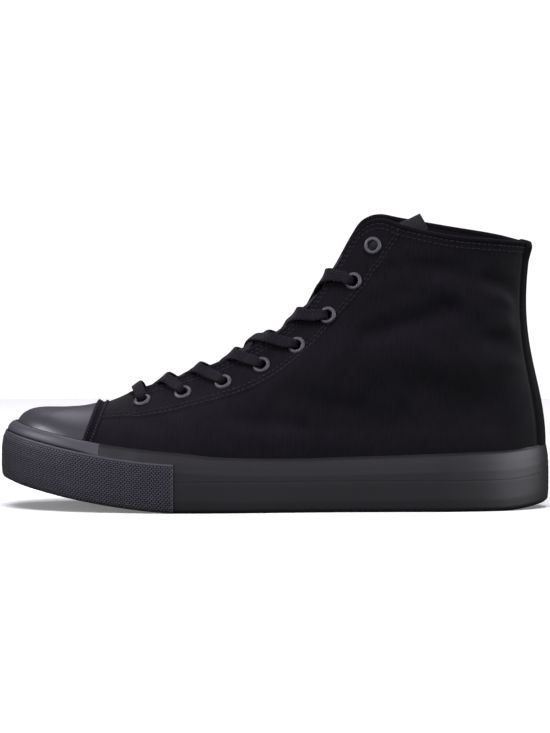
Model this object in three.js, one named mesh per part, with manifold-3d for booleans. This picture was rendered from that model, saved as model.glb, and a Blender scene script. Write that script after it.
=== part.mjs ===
// A left high top canvas sneaker with a rubber cup sole, standing empty on the floor.
// Units are millimetres. +X points to the toe, +Y to the outer side of the foot, +Z up, and the floor is
// z = 0.
import * as THREE from "three";
import { mergeVertices } from "three/addons/utils/BufferGeometryUtils.js";
import Module from "manifold-3d";

const wasm = await Module();
wasm.setup();

// Driving sizes
const GAP = 0.3; // between pieces that meet
const WALL = 2.0; // canvas and lining of the upper
const TOE_X = 150;
const TOE_SPRING = 16.5; // rise of the underside at the toe tip
const SPRING_START = 52; // x where the toe spring begins
const HEEL_BEVEL = 4; // rise of the underside at the back of the heel
const BEVEL_START = -120;
const FOOTBED = 22; // height of the sole's inside floor over the underside
const PARTING = 17; // height of the outsole over the underside
const INSOLE = { thickness: 3.5, inset: 0.8 };
const CAP = { thickness: 1.5, topX: 94, topZ: 57, slant: 0.38, clear: 4 }; // its rear edge slants forward
const BUMPER = { thickness: 1.1, from: 2.5, to: 26.4, endX: 54.5 }; // between two heights
const STRIP = { thickness: 0.7, endX: 95.5, underRim: 0.8 };
const ARCH = { depth: 2.5, front: 4, back: -46, rim: 11 };
const TREAD = { depth: 2.5, groove: 3, pitch: 12.5, rim: 8, lugs: [[14, 124], [-132, -56]] };
const EYELET = { hole: 2.4, barrel: 3.0, flange: 4.9, lip: 1.1, segments: 8 };
const LACE = { width: 6.8, thickness: 1.2, float: 1.1, steps: 7 };
const TONGUE = { thickness: 3.2, bulge: 2.2, under: 0.9 }; // under is its gap to the upper's inner face
const FAR = 200; // past every side of the shoe
const LATERAL = 1;
const MEDIAL = -1;

// Stations round the shoe from the toe tip to the back of the heel. The foot columns are the upper's
// lower edge in plan, on the outer and inner side. The top columns are its centre line over the toes,
// then the throat's edge, then the collar. rise and flare shape a section's lower half: how far it goes
// straight up, and how far out. reach and drop shape its upper half: how far it follows the direction
// that lies drop degrees under the horizontal. margin is how far the sole stands out past the upper,
// lean how far its rim leans back in, and rim its height over the underside.
const STATIONS = table(
  "name           footX footOut footIn topX   topY topOut topIn  rise flare reach drop margin lean rim",
  "toe_tip         141    -9    -9     113     0    53.2   53.2   16   0.6   21    0   8.0    6.0  33",
  "toe_round       138.6   6   -22     110     0    53.3   53.3   16   0.6   21    0   7.7    5.7  33",
  "toe_corner      131    20   -33.5   105     0    53.8   53.8   17   0.8   20    0   7.1    4.9  33",
  "toe_side        115    33   -42.8    98     0    55.0   55.0   17   1.2   20    0   6.2    3.4  33",
  "toe_joint        96    40.6 -47.0    89     0    58.4   58.4   18   1.6   20    0   5.4    2.0  33",
  "throat_front     80    44.3 -48.6    80     0    62.2   62.2   19   1.6   20   12   4.8    1.5  33",
  "throat_side        71  46.1  -48.8   74.5   8.5   64.0   64.0   20  1.6    19   28   4.6   1.3    33",
  "ball               52  48.4  -48.2     52    12   71.2   71.2   22  1.6    19   44   4.5   1.2  32.4",
  "instep_low         34  47.8  -45.3   31.3  14.5   78.4   78.4   26  1.4    20   55   4.5   1.2  30.4",
  "instep             15  45.6  -40.3     12    17   87.7   87.7   31  1.2    22   65   4.5   1.2  29.5",
  "instep_high        -3  42.8  -36.3   -5.3  18.5   98.2   98.2   37  1.0    24   71   4.5   1.2  29.2",
  "ankle_front       -18  40.8  -34.3  -20.6    20  113.1  113.1   42  0.8    26   75   4.5   1.2  29.3",
  "ankle_low         -31  39.4  -33.3  -32.8  21.5  131.0  131.2   46  0.6    27   78   4.5   1.2  29.7",
  "eyestay_top       -43  38.5  -33.0  -42.2    23  147.2  148.0   50  0.4    27   80   4.5   1.2  30.0",
  "corner_front      -51  38.1  -33.0  -48.4  24.5  154.8  156.4   52  0.2    27   82   4.5   1.2  30.2",
  "corner_back       -58  37.8  -33.1  -57.5    27  157.6  159.6   54    0    28   85   4.5   1.2  30.4",
  "collar_front      -70  37.5  -33.6  -70.5  29.5  153.6  157.4   52    0    30   89   4.4   1.2  30.8",
  "collar_side     -95    36.8 -34.0   -94.5  31.5 148.5  153.2   50   0.6   36   92   4.0    1.2  31.7",
  "collar_back    -124    30   -28.5  -121    26   146.0  148.8   46   1.8   52   96   3.2    1.2  32.6",
  "heel_side      -141    16   -15.5  -134.8  14.5 144.8  145.4   44   2.8   60   99   2.8    1.2  32.4",
  "heel_back      -147.4   0     0    -139.4   0   144.2  144.2   44   3.0   62   99   2.8    1.2  32.0",
);
const LAST = STATIONS.length - 1;
const VAMP_END = STATIONS.findIndex((row) => row.name === "throat_front");

// The sole's side from its lower edge to its rim: up is a share of the rim's height, tuck is how far it
// stands in from its widest line, and lean the share of the station's lean that it has.
const SOLE_SIDE = table(
  "name        up    tuck lean",
  "edge        0     2.0  0",
  "edge_round  0.05  0.4  0",
  "belly       0.5   0    0.03",
  "shoulder    0.68  0    0.17",
  "lean_in     0.83  0.1  0.5",
  "rim_round   0.95  0.3  0.87",
  "rim         1     1.2  1",
);

// Eyelets of one side, from the toe up: station is their place along the shoe, inset their distance from
// the edge, and edge the station where their lace comes over the throat's edge.
const EYELETS = table(
  "name station inset edge",
  "1     6.10   11.0   6.05",
  "2     7.10   12.6   6.7",
  "3     8.20   13.8   7.5",
  "4     9.30   13.7   8.5",
  "5    10.45   16.2   9.5",
  "6    11.69   20.5  10.5",
  "7    13.01   23.5  11.75",
  "8    14.53   13.7  13",
);

// The tongue follows the upper's inner face from its root to its last station, then these rows: its
// centre, half width, and how far its edges fall back behind the centre.
const TONGUE_STATIONS = [4.3, 5, 5.7, 6.5, 7.5, 8.5, 9.5, 10.5, 11.5, 12.5];
const TONGUE_SHARES = [0.78, 0.86, 0.94];
const TONGUE_TIP = table(
  "name    x      z    half  fall",
  "high   -55    148   23    14",
  "fold   -68    155.6 24    12",
  "tip    -79    161.2 21    9",
);

// Rows of text to records: the first line names the columns.
function table(head, ...lines) {
  const keys = head.split(/\s+/);
  return lines.map((line) => {
    const cells = line.trim().split(/\s+/);
    return Object.fromEntries(keys.map((key, i) => [key, i ? Number(cells[i]) : cells[0]]));
  });
}

const RAD = Math.PI / 180;
const { clamp, lerp } = THREE.MathUtils;
const vec = (x, y, z) => new THREE.Vector3(x, y, z);

// ---- The last: its lower edge, top line and outer face ----

// Height of the underside over the floor.
function underside(x) {
  const toe = clamp((x - SPRING_START) / (TOE_X - SPRING_START), 0, 1);
  const heel = clamp((BEVEL_START - x) / (BEVEL_START + TOE_X), 0, 1);
  return TOE_SPRING * toe ** 1.6 + HEEL_BEVEL * heel ** 2;
}

// A smooth curve through values(i) at whole numbers.
function smooth(values, k) {
  const i = Math.min(Math.floor(k), LAST - 1);
  const [a, b, c, d] = [values(i - 1), values(i), values(i + 1), values(i + 2)];
  const f = k - i;
  return b + 0.5 * f * (c - a + f * (2 * a - 5 * b + 4 * c - d + f * (3 * (b - c) + d - a)));
}

// A column of STATIONS at a fractional station. Past the toe and the heel it goes on into the other side.
function column(key, k, beyond = (i) => STATIONS[i][key]) {
  return smooth((i) => {
    if (i < 0) return beyond(-i);
    return i > LAST ? beyond(2 * LAST - i) : STATIONS[i][key];
  }, k);
}

const onSide = (side, name) => name + (side === LATERAL ? "Out" : "In");

function footPoint(k, side) {
  const x = column("footX", k);
  const y = column(onSide(side, "foot"), k, (i) => STATIONS[i][onSide(-side, "foot")]);
  return vec(x, y, underside(x) + FOOTBED + GAP);
}

function topPoint(k, side) {
  const z = column(onSide(side, "top"), k, (i) => STATIONS[i][onSide(-side, "top")]);
  return vec(column("topX", k), side * topHalf(k), z);
}

// Half the width between the two top lines: none over the toes, then a throat with a round front end.
function topHalf(k) {
  if (k <= VAMP_END) return 0;
  const f = k - VAMP_END;
  if (f < 1) return STATIONS[VAMP_END + 1].topY * Math.sqrt(f * (2 - f));
  return column("topY", k, (i) => -STATIONS[i].topY);
}

// Plan direction out of the shoe at its lower edge.
function outward(k, side) {
  const step = 0.05;
  const [a, b] = [footPoint(Math.max(k - step, 0), side), footPoint(Math.min(k + step, LAST), side)];
  if (k < step) a.copy(footPoint(step, -side));
  if (k > LAST - step) b.copy(footPoint(LAST - step, -side));
  return vec(b.y - a.y, a.x - b.x, 0).multiplyScalar(side).normalize();
}

// One section of the upper's outer face, from its lower edge to its top line.
function section(k, side) {
  const foot = footPoint(k, side);
  const top = topPoint(k, side);
  const low = foot.clone().addScaledVector(outward(k, side), column("flare", k));
  low.z += column("rise", k);
  const drop = column("drop", k) * RAD;
  const reach = column("reach", k);
  const away = vec(foot.x - top.x, foot.y - top.y, 0).normalize();
  const high = top.clone().addScaledVector(away, reach * Math.cos(drop));
  high.z -= reach * Math.sin(drop);
  if (k < VAMP_END) high.z += vampSlope(k) * (high.x - top.x);
  return new THREE.CubicBezierCurve3(foot, low, high, top);
}

function vampSlope(k) {
  const [a, b] = [Math.max(k - 0.05, 0), Math.min(k + 0.05, VAMP_END)];
  return (column("topOut", b) - column("topOut", a)) / (column("topX", b) - column("topX", a));
}

// A point of the outer face moved out by a distance along its normal. share runs from 0 at the lower
// edge to 1 at the top line.
function face(k, share, side, distance = 0) {
  const here = section(k, side);
  const point = here.getPoint(share);
  if (!distance) return point;
  const up = here.getTangent(share);
  const step = 0.02;
  const [a, b] = [Math.max(k - step, 0), Math.min(k + step, LAST)];
  let normal = section(b, side).getPoint(share).sub(section(a, side).getPoint(share)).cross(up);
  normal.multiplyScalar(side);
  if (k < step || k > LAST - step) {
    const out = outward(k, side);
    normal = out.addScaledVector(up, -out.dot(up));
  } else if (share === 1 && k <= VAMP_END) {
    normal = vec(-vampSlope(k), 0, 1);
  }
  return point.addScaledVector(normal.normalize(), distance);
}

// The same point by its distance down the section from the top line.
function belowEdge(k, side, inset, distance) {
  const here = section(k, side);
  return face(k, here.getUtoTmapping(1 - inset / here.getLength(), null), side, distance);
}

// ---- Solids ----

function solidOf(points, triangles) {
  const geometry = new THREE.BufferGeometry();
  const numbers = points.flatMap((point) => [point.x, point.y, point.z]);
  geometry.setAttribute("position", new THREE.Float32BufferAttribute(numbers, 3));
  geometry.setIndex(triangles);
  return solidOfGeometry(geometry);
}

function solidOfGeometry(geometry) {
  const bare = new THREE.BufferGeometry().setAttribute("position", geometry.attributes.position);
  bare.setIndex(geometry.index);
  const merged = mergeVertices(bare, 1e-3);
  const index = merged.index.array;
  const kept = [];
  for (let i = 0; i < index.length; i += 3) {
    const [a, b, c] = index.subarray(i, i + 3);
    if (a !== b && b !== c && c !== a) kept.push(a, b, c);
  }
  const vertProperties = merged.attributes.position.array;
  return new wasm.Manifold(new wasm.Mesh({ numProp: 3, vertProperties, triVerts: new Uint32Array(kept) }));
}

// Where the columns stand round the shoe: back along the outer side, then forward along the inner side. They
// stand on every station, and halfway between stations but for the straight run of the quarter.
const STRAIGHT = { from: 8, to: 13 };
const PLACES = [];
for (let k = 0; k <= LAST; k += 0.5)
  if (Number.isInteger(k) || k < STRAIGHT.from || k > STRAIGHT.to) PLACES.push(k);
const COLUMNS = [
  ...PLACES.map((k) => [k, LATERAL]),
  ...PLACES.slice(1, -1).reverse().map((k) => [k, MEDIAL]),
];
const ring = (visit) => COLUMNS.map(([k, side]) => visit(k, side));

// Quads between two rings whose points start at a and b in the list of points.
function band(a, b, keep = () => true) {
  const triangles = [];
  const n = COLUMNS.length;
  for (let i = 0; i < n; i++) {
    const j = (i + 1) % n;
    if (keep(COLUMNS[i][0], COLUMNS[j][0])) triangles.push(a + i, a + j, b + j, a + i, b + j, b + i);
  }
  return triangles;
}

// Quads across the shoe from side to side, which close a ring from above or below.
function lid(start, above) {
  const triangles = [];
  const n = COLUMNS.length;
  for (let i = 0; i < n / 2; i++) {
    const [a, b, c, d] = [i, i + 1, (n - i - 1) % n, (n - i) % n].map((j) => j + start);
    triangles.push(...(above ? [a, b, c, a, c, d] : [a, c, b, a, d, c]));
  }
  return triangles;
}

// A closed body between rings stacked from below.
function stack(rings) {
  const n = COLUMNS.length;
  const triangles = [...lid(0, false), ...lid((rings.length - 1) * n, true)];
  for (let r = 0; r < rings.length - 1; r++) triangles.push(...band(r * n, (r + 1) * n));
  return solidOf(rings.flat(), triangles);
}

const SHARES = [0, 0.1, 0.2, 0.32, 0.45, 0.58, 0.71, 0.84, 0.93, 1];
const INNER_SHARES = [0, 0.1, 0.2, 0.45, 0.71, 0.84, 0.93, 1]; // rows of the shell's inner face

// The upper's form filled in, its face moved out by a distance and its floor down by the same.
function form(distance, shares = SHARES) {
  const rings = shares.map((share) => ring((k, side) => face(k, share, side, distance)));
  rings[0].forEach((point) => point.setZ(point.z - distance));
  return stack(rings);
}

// The wall inside the outer face, open underneath, at the throat and at the collar.
function shell() {
  const outer = SHARES.map((share) => ring((k, side) => face(k, share, side)));
  const inner = INNER_SHARES.map((share) => ring((k, side) => face(k, share, side, -WALL))).reverse();
  const n = COLUMNS.length;
  const rings = [...outer, ...inner];
  const openTop = (a, b) => a > VAMP_END || b > VAMP_END;
  const triangles = rings.flatMap((_, r) =>
    band(r * n, ((r + 1) % rings.length) * n, r === SHARES.length - 1 ? openTop : undefined),
  );
  return solidOf(rings.flat(), triangles);
}

// A box from its lower to its upper corner.
function box([x0, y0, z0], [x1, y1, z1]) {
  const geometry = new THREE.BoxGeometry(x1 - x0, y1 - y0, z1 - z0);
  return solidOfGeometry(geometry.translate((x0 + x1) / 2, (y0 + y1) / 2, (z0 + z1) / 2));
}

// ---- Sole ----

// How far the sole's side stands in at a share of the rim's height.
function tuckAt(k, up) {
  const i = Math.max(SOLE_SIDE.findIndex((row) => row.up >= up), 1);
  const [a, b] = [SOLE_SIDE[i - 1], SOLE_SIDE[i]];
  const f = clamp((up - a.up) / (b.up - a.up), 0, 1);
  return lerp(a.tuck, b.tuck, f) + lerp(a.lean, b.lean, f) * column("lean", k);
}

// A point of the sole's side at a height over the underside, moved out by a distance.
function solePoint(k, side, height, distance = 0) {
  const out = outward(k, side);
  const point = footPoint(k, side);
  point.addScaledVector(out, column("margin", k) + distance - tuckAt(k, height / column("rim", k)));
  return point.setZ(underside(point.x) + height);
}

const soleRing = (height, distance) =>
  ring((k, side) => solePoint(k, side, typeof height === "function" ? height(k) : height, distance));
const rimShare = (share) => (k) => share * column("rim", k);

// A plan prism inside the sole's side, for cutting its underside.
const inset = (rim, height) => stack([soleRing(-5, -rim), soleRing(height, -rim)]);

// Bent bars across the sole: the grooves between its lugs.
function grooves() {
  const bars = [];
  for (const [back, front] of TREAD.lugs)
    for (let x = back; x <= front; x += TREAD.pitch)
      bars.push(box([x, -FAR, -FAR], [x + TREAD.groove, FAR, FAR]));
  return wasm.Manifold.union(bars).intersect(inset(TREAD.rim, TREAD.depth));
}

function outsole() {
  const body = stack([soleRing(0), soleRing(rimShare(0.05)), soleRing(PARTING)]);
  const arch = inset(ARCH.rim, ARCH.depth).intersect(box([ARCH.back, -FAR, -FAR], [ARCH.front, FAR, FAR]));
  return body.subtract(grooves()).subtract(arch);
}

function midsole() {
  const rows = SOLE_SIDE.filter((row) => row.up > 0.6).map((row) => soleRing(rimShare(row.up)));
  const block = stack([soleRing(PARTING + GAP), ...rows]);
  return block.subtract(form(GAP, SHARES.filter((share) => share < 0.4 || share === 1)));
}

// A sheet over the sole's side between two heights, as far back as endX.
function sidePlate({ from, to, thickness, endX }) {
  const inside = (height) => height(0) > from(0) + GAP && height(0) < to(0) - GAP;
  const levels = [from, ...SOLE_SIDE.map((row) => rimShare(row.up)).filter(inside), to];
  const outer = stack(levels.map((height) => soleRing(height, GAP + thickness)));
  const rings = levels.map((height) => soleRing(height, GAP));
  const moved = (points, by) => points.map((point) => point.clone().setZ(point.z + by));
  const inner = stack([moved(rings[0], -1), ...rings, moved(rings[rings.length - 1], 1)]);
  const room = box([endX, -FAR, -FAR], [FAR, FAR, FAR]);
  return outer.subtract(inner).intersect(room);
}

const bumper = () => sidePlate({ ...BUMPER, from: () => BUMPER.from, to: () => BUMPER.to });
const strip = () =>
  sidePlate({ ...STRIP, from: () => BUMPER.to + GAP, to: (k) => column("rim", k) - STRIP.underRim });

// ---- Upper and its pieces ----

function toeCap() {
  const shares = SHARES.filter((share) => share === 0 || share > 0.1);
  const raised = (distance) =>
    stack(shares.map((share) => ring((k, side) => face(k, share, side, distance))));
  const sheet = raised(GAP + CAP.thickness).subtract(raised(GAP));
  const front = new THREE.BoxGeometry(FAR, FAR, 2 * FAR).translate(FAR / 2, 0, 0);
  front.rotateY(-Math.atan(CAP.slant)).translate(CAP.topX, 0, CAP.topZ);
  const levels = [0, rimShare(0.9), (k) => column("rim", k) + GAP];
  const sole = stack(levels.map((height) => soleRing(height, CAP.clear)));
  return sheet.intersect(solidOfGeometry(front)).subtract(sole);
}

function insole() {
  const level = (height) => ring((k, side) => {
    const point = footPoint(k, side).addScaledVector(outward(k, side), -WALL - INSOLE.inset);
    return point.setZ(underside(point.x) + FOOTBED + height);
  });
  return stack([level(GAP), level(GAP + INSOLE.thickness)]);
}

function eyeletPlace(row, side) {
  const centre = belowEdge(row.station, side, row.inset, 0);
  const out = belowEdge(row.station, side, row.inset, 1).sub(centre).normalize();
  const turn = new THREE.Matrix4().makeRotationFromQuaternion(
    new THREE.Quaternion().setFromUnitVectors(vec(0, 1, 0), out),
  );
  return { centre, out, matrix: turn.setPosition(centre) };
}

// A ring through the wall: a lip outside and a barrel. Its profile is (radius, height outward).
function eyelet(row, side) {
  const { hole, barrel, flange, lip } = EYELET;
  const profile = [
    [hole, -WALL], [barrel, -WALL], [barrel, 3 * GAP], [flange, 3 * GAP],
    [flange - 0.5, GAP + lip], [hole, GAP + lip], [hole, -WALL],
  ].map(([r, h]) => new THREE.Vector2(r, h));
  const geometry = new THREE.LatheGeometry(profile, EYELET.segments);
  return solidOfGeometry(geometry.applyMatrix4(eyeletPlace(row, side).matrix));
}

function eyeletHole(row, side) {
  const geometry = new THREE.CylinderGeometry(EYELET.barrel + GAP, EYELET.barrel + GAP, 12, EYELET.segments);
  return solidOfGeometry(geometry.applyMatrix4(eyeletPlace(row, side).matrix));
}

function upper() {
  const holes = EYELETS.flatMap((row) => [eyeletHole(row, LATERAL), eyeletHole(row, MEDIAL)]);
  return shell().subtract(wasm.Manifold.union(holes));
}

// The tongue's outer face at a station of the upper: under the edges on both sides, bulging between them.
function tongueRow(k, depth) {
  const below = -WALL - TONGUE.under - depth;
  const under = (side) => TONGUE_SHARES.map((share) => face(k, share, side, below));
  const [outer, inner] = [under(LATERAL), under(MEDIAL)];
  const [a, b] = [face(k, 1, LATERAL, below), face(k, 1, MEDIAL, below)];
  const bulge = k > VAMP_END ? TONGUE.bulge * Math.min(k - VAMP_END, 1) : 0;
  const across = [0.25, 0.5, 0.75].map((f) => {
    const lift = 4 * f * (1 - f) * bulge;
    return a.clone().lerp(b, f).add(vec(0.6 * lift, 0, 0.8 * lift));
  });
  return [...outer, ...across, ...inner.reverse()];
}

function tipRow(row, depth) {
  const back = vec(-0.45, 0, -0.9);
  return [1, 0.75, 0.5, 0.25, 0, -0.25, -0.5, -0.75, -1].map((v) =>
    vec(row.x, v * row.half, row.z).addScaledVector(back, row.fall * v * v + depth));
}

function tongue() {
  const rows = (depth) => [
    ...TONGUE_STATIONS.map((k) => tongueRow(k, depth)),
    ...TONGUE_TIP.map((row) => tipRow(row, depth)),
  ];
  return sheetSolid(rows(0), rows(TONGUE.thickness));
}

// A sheet with an outer and an inner face, each a list of rows from one end to the other.
function sheetSolid(outer, inner) {
  const [rows, across] = [outer.length, outer[0].length];
  const points = [...outer.flat(), ...inner.flat()];
  const at = (layer, r, c) => (layer * rows + r) * across + c;
  const triangles = [];
  const quad = (a, b, c, d) => triangles.push(a, b, c, a, c, d);
  for (let r = 0; r < rows - 1; r++) {
    for (let c = 0; c < across - 1; c++) {
      quad(at(0, r, c), at(0, r + 1, c), at(0, r + 1, c + 1), at(0, r, c + 1));
      quad(at(1, r, c), at(1, r, c + 1), at(1, r + 1, c + 1), at(1, r + 1, c));
    }
    quad(at(0, r, 0), at(1, r, 0), at(1, r + 1, 0), at(0, r + 1, 0));
    quad(at(0, r, across - 1), at(0, r + 1, across - 1), at(1, r + 1, across - 1), at(1, r, across - 1));
  }
  for (let c = 0; c < across - 1; c++) {
    quad(at(0, 0, c), at(0, 0, c + 1), at(1, 0, c + 1), at(1, 0, c));
    quad(at(0, rows - 1, c), at(1, rows - 1, c), at(1, rows - 1, c + 1), at(0, rows - 1, c + 1));
  }
  return solidOf(points, triangles);
}

// ---- Laces ----

// A point over the upper with the direction out of the surface there: f runs from 0 at the eyelet to 1
// where its lace crosses the throat's edge.
function overUpper(row, side, f, lift = 0) {
  const at = (distance) => belowEdge(lerp(row.station, row.edge, f), side, row.inset * (1 - f), distance);
  const normal = at(1).sub(at(0)).normalize();
  return { point: at(EYELET.lip + GAP + LACE.float + LACE.thickness / 2 + lift), normal };
}

// A point between the two edges of the throat, f of the way from one side to the other, lifted off the
// chord.
function overThroat(station, side, f, lift) {
  const normal = vec(0.6, 0, 0.8);
  const point = face(station, 1, side).lerp(face(station, 1, -side), f);
  return { point: point.addScaledVector(normal, lift), normal };
}

// A flat ribbon through points that each have the direction its face turns to.
function ribbon(path) {
  const curve = new THREE.CatmullRomCurve3(path.map((stop) => stop.point), false, "centripetal");
  const [w, t] = [LACE.width / 2, LACE.thickness / 2];
  const outline = [[w, 0], [w - 0.5, t], [0.5 - w, t], [-w, 0], [0.5 - w, -t], [w - 0.5, -t]];
  const points = [];
  for (let i = 0; i <= LACE.steps; i++) {
    const u = (i / LACE.steps) * (path.length - 1);
    const [j, f] = [Math.min(Math.floor(u), path.length - 2), u - Math.min(Math.floor(u), path.length - 2)];
    const tangent = curve.getTangent(i / LACE.steps);
    const normal = path[j].normal.clone().lerp(path[j + 1].normal, f);
    const across = tangent.clone().cross(normal).normalize();
    normal.crossVectors(across, tangent).normalize();
    const centre = curve.getPoint(i / LACE.steps);
    for (const [x, y] of outline)
      points.push(centre.clone().addScaledVector(across, x).addScaledVector(normal, y));
  }
  const n = outline.length;
  const triangles = [];
  for (let r = 0; r < LACE.steps; r++)
    for (let i = 0; i < n; i++) {
      const [a, b] = [r * n + i, r * n + ((i + 1) % n)];
      triangles.push(a, b + n, b, a, a + n, b + n);
    }
  for (let i = 1; i < n - 1; i++) triangles.push(0, i, i + 1);
  const end = LACE.steps * n;
  for (let i = 1; i < n - 1; i++) triangles.push(end, end + i + 1, end + i);
  return solidOf(points, triangles);
}

// One strand out of the throat on one side, over the other side's edge and down to its next eyelet. share is
// how far it has come towards the next eyelet, f its place between the edges, or between edge and eyelet.
function strand(from, to, side) {
  const start = { share: 0.4, f: 0.27, lift: 3.3 };
  const middle = { share: 0.6, f: 0.5, lift: 3.4 };
  const [edge, down, end] = [{ f: 0.95, lift: 0.6 }, { f: 0.55 }, { f: 0.1 }];
  return ribbon([
    ...[start, middle].map((at) => overThroat(lerp(from.edge, to.edge, at.share), side, at.f, at.lift)),
    ...[edge, down, end].map((at) => overUpper(to, -side, at.f, at.lift)),
  ]);
}

const crossing = (from, to) => strand(from, to, LATERAL).add(strand(from, to, MEDIAL));

function bar(row) {
  const [end, edge, rise] = [0.1, 0.8, 4.6];
  const half = (side) => [overUpper(row, side, end), overUpper(row, side, edge)];
  return ribbon([...half(LATERAL), overThroat(row.edge, LATERAL, 0.5, rise), ...half(MEDIAL).reverse()]);
}

// ---- Build ----

function piece(name, solid, colour, roughness) {
  const mesh = solid.getMesh();
  const geometry = new THREE.BufferGeometry();
  geometry.setAttribute("position", new THREE.BufferAttribute(new Float32Array(mesh.vertProperties), 3));
  geometry.setIndex(new THREE.BufferAttribute(new Uint32Array(mesh.triVerts), 1));
  const material = new THREE.MeshStandardMaterial({ color: colour, roughness });
  const made = new THREE.Mesh(geometry, material);
  made.name = name;
  return made;
}

const group = new THREE.Group();
const CANVAS = 0x17181d, RUBBER = 0x2b2b2e, PAINT = 0x6d6f72;
group.add(piece("outsole", outsole(), RUBBER, 0.7));
group.add(piece("midsole", midsole(), RUBBER, 0.7));
group.add(piece("toe_bumper", bumper(), RUBBER, 0.8));
group.add(piece("toe_strip", strip(), RUBBER, 0.6));
group.add(piece("toe_cap", toeCap(), RUBBER, 0.45));
group.add(piece("upper", upper(), CANVAS, 0.95));
group.add(piece("tongue", tongue(), CANVAS, 0.95));
group.add(piece("insole", insole(), CANVAS, 0.9));
for (const row of EYELETS) {
  group.add(piece("eyelet_lateral_" + row.name, eyelet(row, LATERAL), PAINT, 0.5));
  group.add(piece("eyelet_medial_" + row.name, eyelet(row, MEDIAL), PAINT, 0.5));
}
const laced = EYELETS.slice(0, -1);
group.add(piece("lace_bar", bar(laced[0]), CANVAS, 0.9));
laced.slice(1).forEach((row, i) => {
  group.add(piece("lace_cross_" + (i + 1), crossing(laced[i], row), CANVAS, 0.9));
});
export default group;
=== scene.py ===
"""A left high top canvas sneaker: cup sole, toe bumper, toe cap, upper, tongue, eyelets and one flat lace.

The shoe's surfaces come from one function of the last, worked out from a short table of stations that run
round the shoe from the toe tip to the back of the heel. Sizes in the tables are millimetres.
"""

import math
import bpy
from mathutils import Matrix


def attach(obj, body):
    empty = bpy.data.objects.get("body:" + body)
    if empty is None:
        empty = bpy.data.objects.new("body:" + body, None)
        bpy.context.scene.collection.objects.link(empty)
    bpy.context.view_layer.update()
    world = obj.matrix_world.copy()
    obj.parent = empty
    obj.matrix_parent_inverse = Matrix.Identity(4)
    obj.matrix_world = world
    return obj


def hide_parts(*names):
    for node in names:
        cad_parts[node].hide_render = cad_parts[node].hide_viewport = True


bl_info = {
    "name": "High Top Sneaker",
    "version": (1, 0, 0),
    "blender": (4, 5, 0),
    "location": "3D View > Sidebar > Sneaker",
    "description": "Builds a laced canvas high top sneaker piece by piece, with its stage",
    "category": "Add Mesh",
}

import bmesh
import bpy
import numpy as np
from mathutils import Vector

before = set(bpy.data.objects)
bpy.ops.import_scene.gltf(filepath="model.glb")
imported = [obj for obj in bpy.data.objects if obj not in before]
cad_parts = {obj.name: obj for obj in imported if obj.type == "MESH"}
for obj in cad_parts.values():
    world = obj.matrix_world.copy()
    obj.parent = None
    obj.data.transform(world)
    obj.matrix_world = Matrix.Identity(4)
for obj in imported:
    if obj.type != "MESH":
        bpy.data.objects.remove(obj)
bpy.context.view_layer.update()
MM = 0.001

# ---- Sizes of the shoe, in millimetres ----

WALL = 2.0  # the upper's thickness
TOE_X, TOE_SPRING, SPRING_START = 150.0, 16.5, 52.0  # the underside turns up from the start to the toe
HEEL_BEVEL, BEVEL_START = 4.0, -120.0  # and a little at the back of the heel
FOOTBED, PARTING, GAP = 22.0, 17.0, 0.3  # heights over the underside, and the gap between pieces

# Stations round the shoe. foot: the upper's lower edge in plan. top: its centre line over the toes, then the
# edge of the throat, then the collar. rise, flare, reach and drop shape the section between them. margin,
# lean and rim shape the sole's side.
STATIONS = """
name         footX footOut footIn topX   topY topOut topIn rise flare reach drop margin lean rim
toe_tip       141    -9    -9    113     0    53.2   53.2  16  0.6  21    0   8.0  6.0  33
toe_round     138.6   6   -22    110     0    53.3   53.3  16  0.6  21    0   7.7  5.7  33
toe_corner    131    20   -33.5  105     0    53.8   53.8  17  0.8  20    0   7.1  4.9  33
toe_side      115    33   -42.8   98     0    55.0   55.0  17  1.2  20    0   6.2  3.4  33
toe_joint      96    40.6 -47.0   89     0    58.4   58.4  18  1.6  20    0   5.4  2.0  33
throat_front   80    44.3 -48.6   80     0    62.2   62.2  19  1.6  20   12   4.8  1.5  33
throat_side    71    46.1 -48.8   74.5   8.5  64.0   64.0  20  1.6  19   28   4.6  1.3  33
ball           52    48.4 -48.2   52    12    71.2   71.2  22  1.6  19   44   4.5  1.2  32.4
instep_low     34    47.8 -45.3   31.3  14.5  78.4   78.4  26  1.4  20   55   4.5  1.2  30.4
instep         15    45.6 -40.3   12    17    87.7   87.7  31  1.2  22   65   4.5  1.2  29.5
instep_high    -3    42.8 -36.3   -5.3  18.5  98.2   98.2  37  1.0  24   71   4.5  1.2  29.2
ankle_front   -18    40.8 -34.3  -20.6  20   113.1  113.1  42  0.8  26   75   4.5  1.2  29.3
ankle_low     -31    39.4 -33.3  -32.8  21.5 131.0  131.2  46  0.6  27   78   4.5  1.2  29.7
eyestay_top   -43    38.5 -33.0  -42.2  23   147.2  148.0  50  0.4  27   80   4.5  1.2  30.0
corner_front  -51    38.1 -33.0  -48.4  24.5 154.8  156.4  52  0.2  27   82   4.5  1.2  30.2
corner_back   -58    37.8 -33.1  -57.5  27   157.6  159.6  54  0    28   85   4.5  1.2  30.4
collar_front  -70    37.5 -33.6  -70.5  29.5 153.6  157.4  52  0    30   89   4.4  1.2  30.8
collar_side   -95    36.8 -34.0  -94.5  31.5 148.5  153.2  50  0.6  36   92   4.0  1.2  31.7
collar_back  -124    30   -28.5 -121    26   146.0  148.8  46  1.8  52   96   3.2  1.2  32.6
heel_side    -141    16   -15.5 -134.8  14.5 144.8  145.4  44  2.8  60   99   2.8  1.2  32.4
heel_back    -147.4   0     0   -139.4   0   144.2  144.2  44  3.0  62   99   2.8  1.2  32.0
"""

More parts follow.
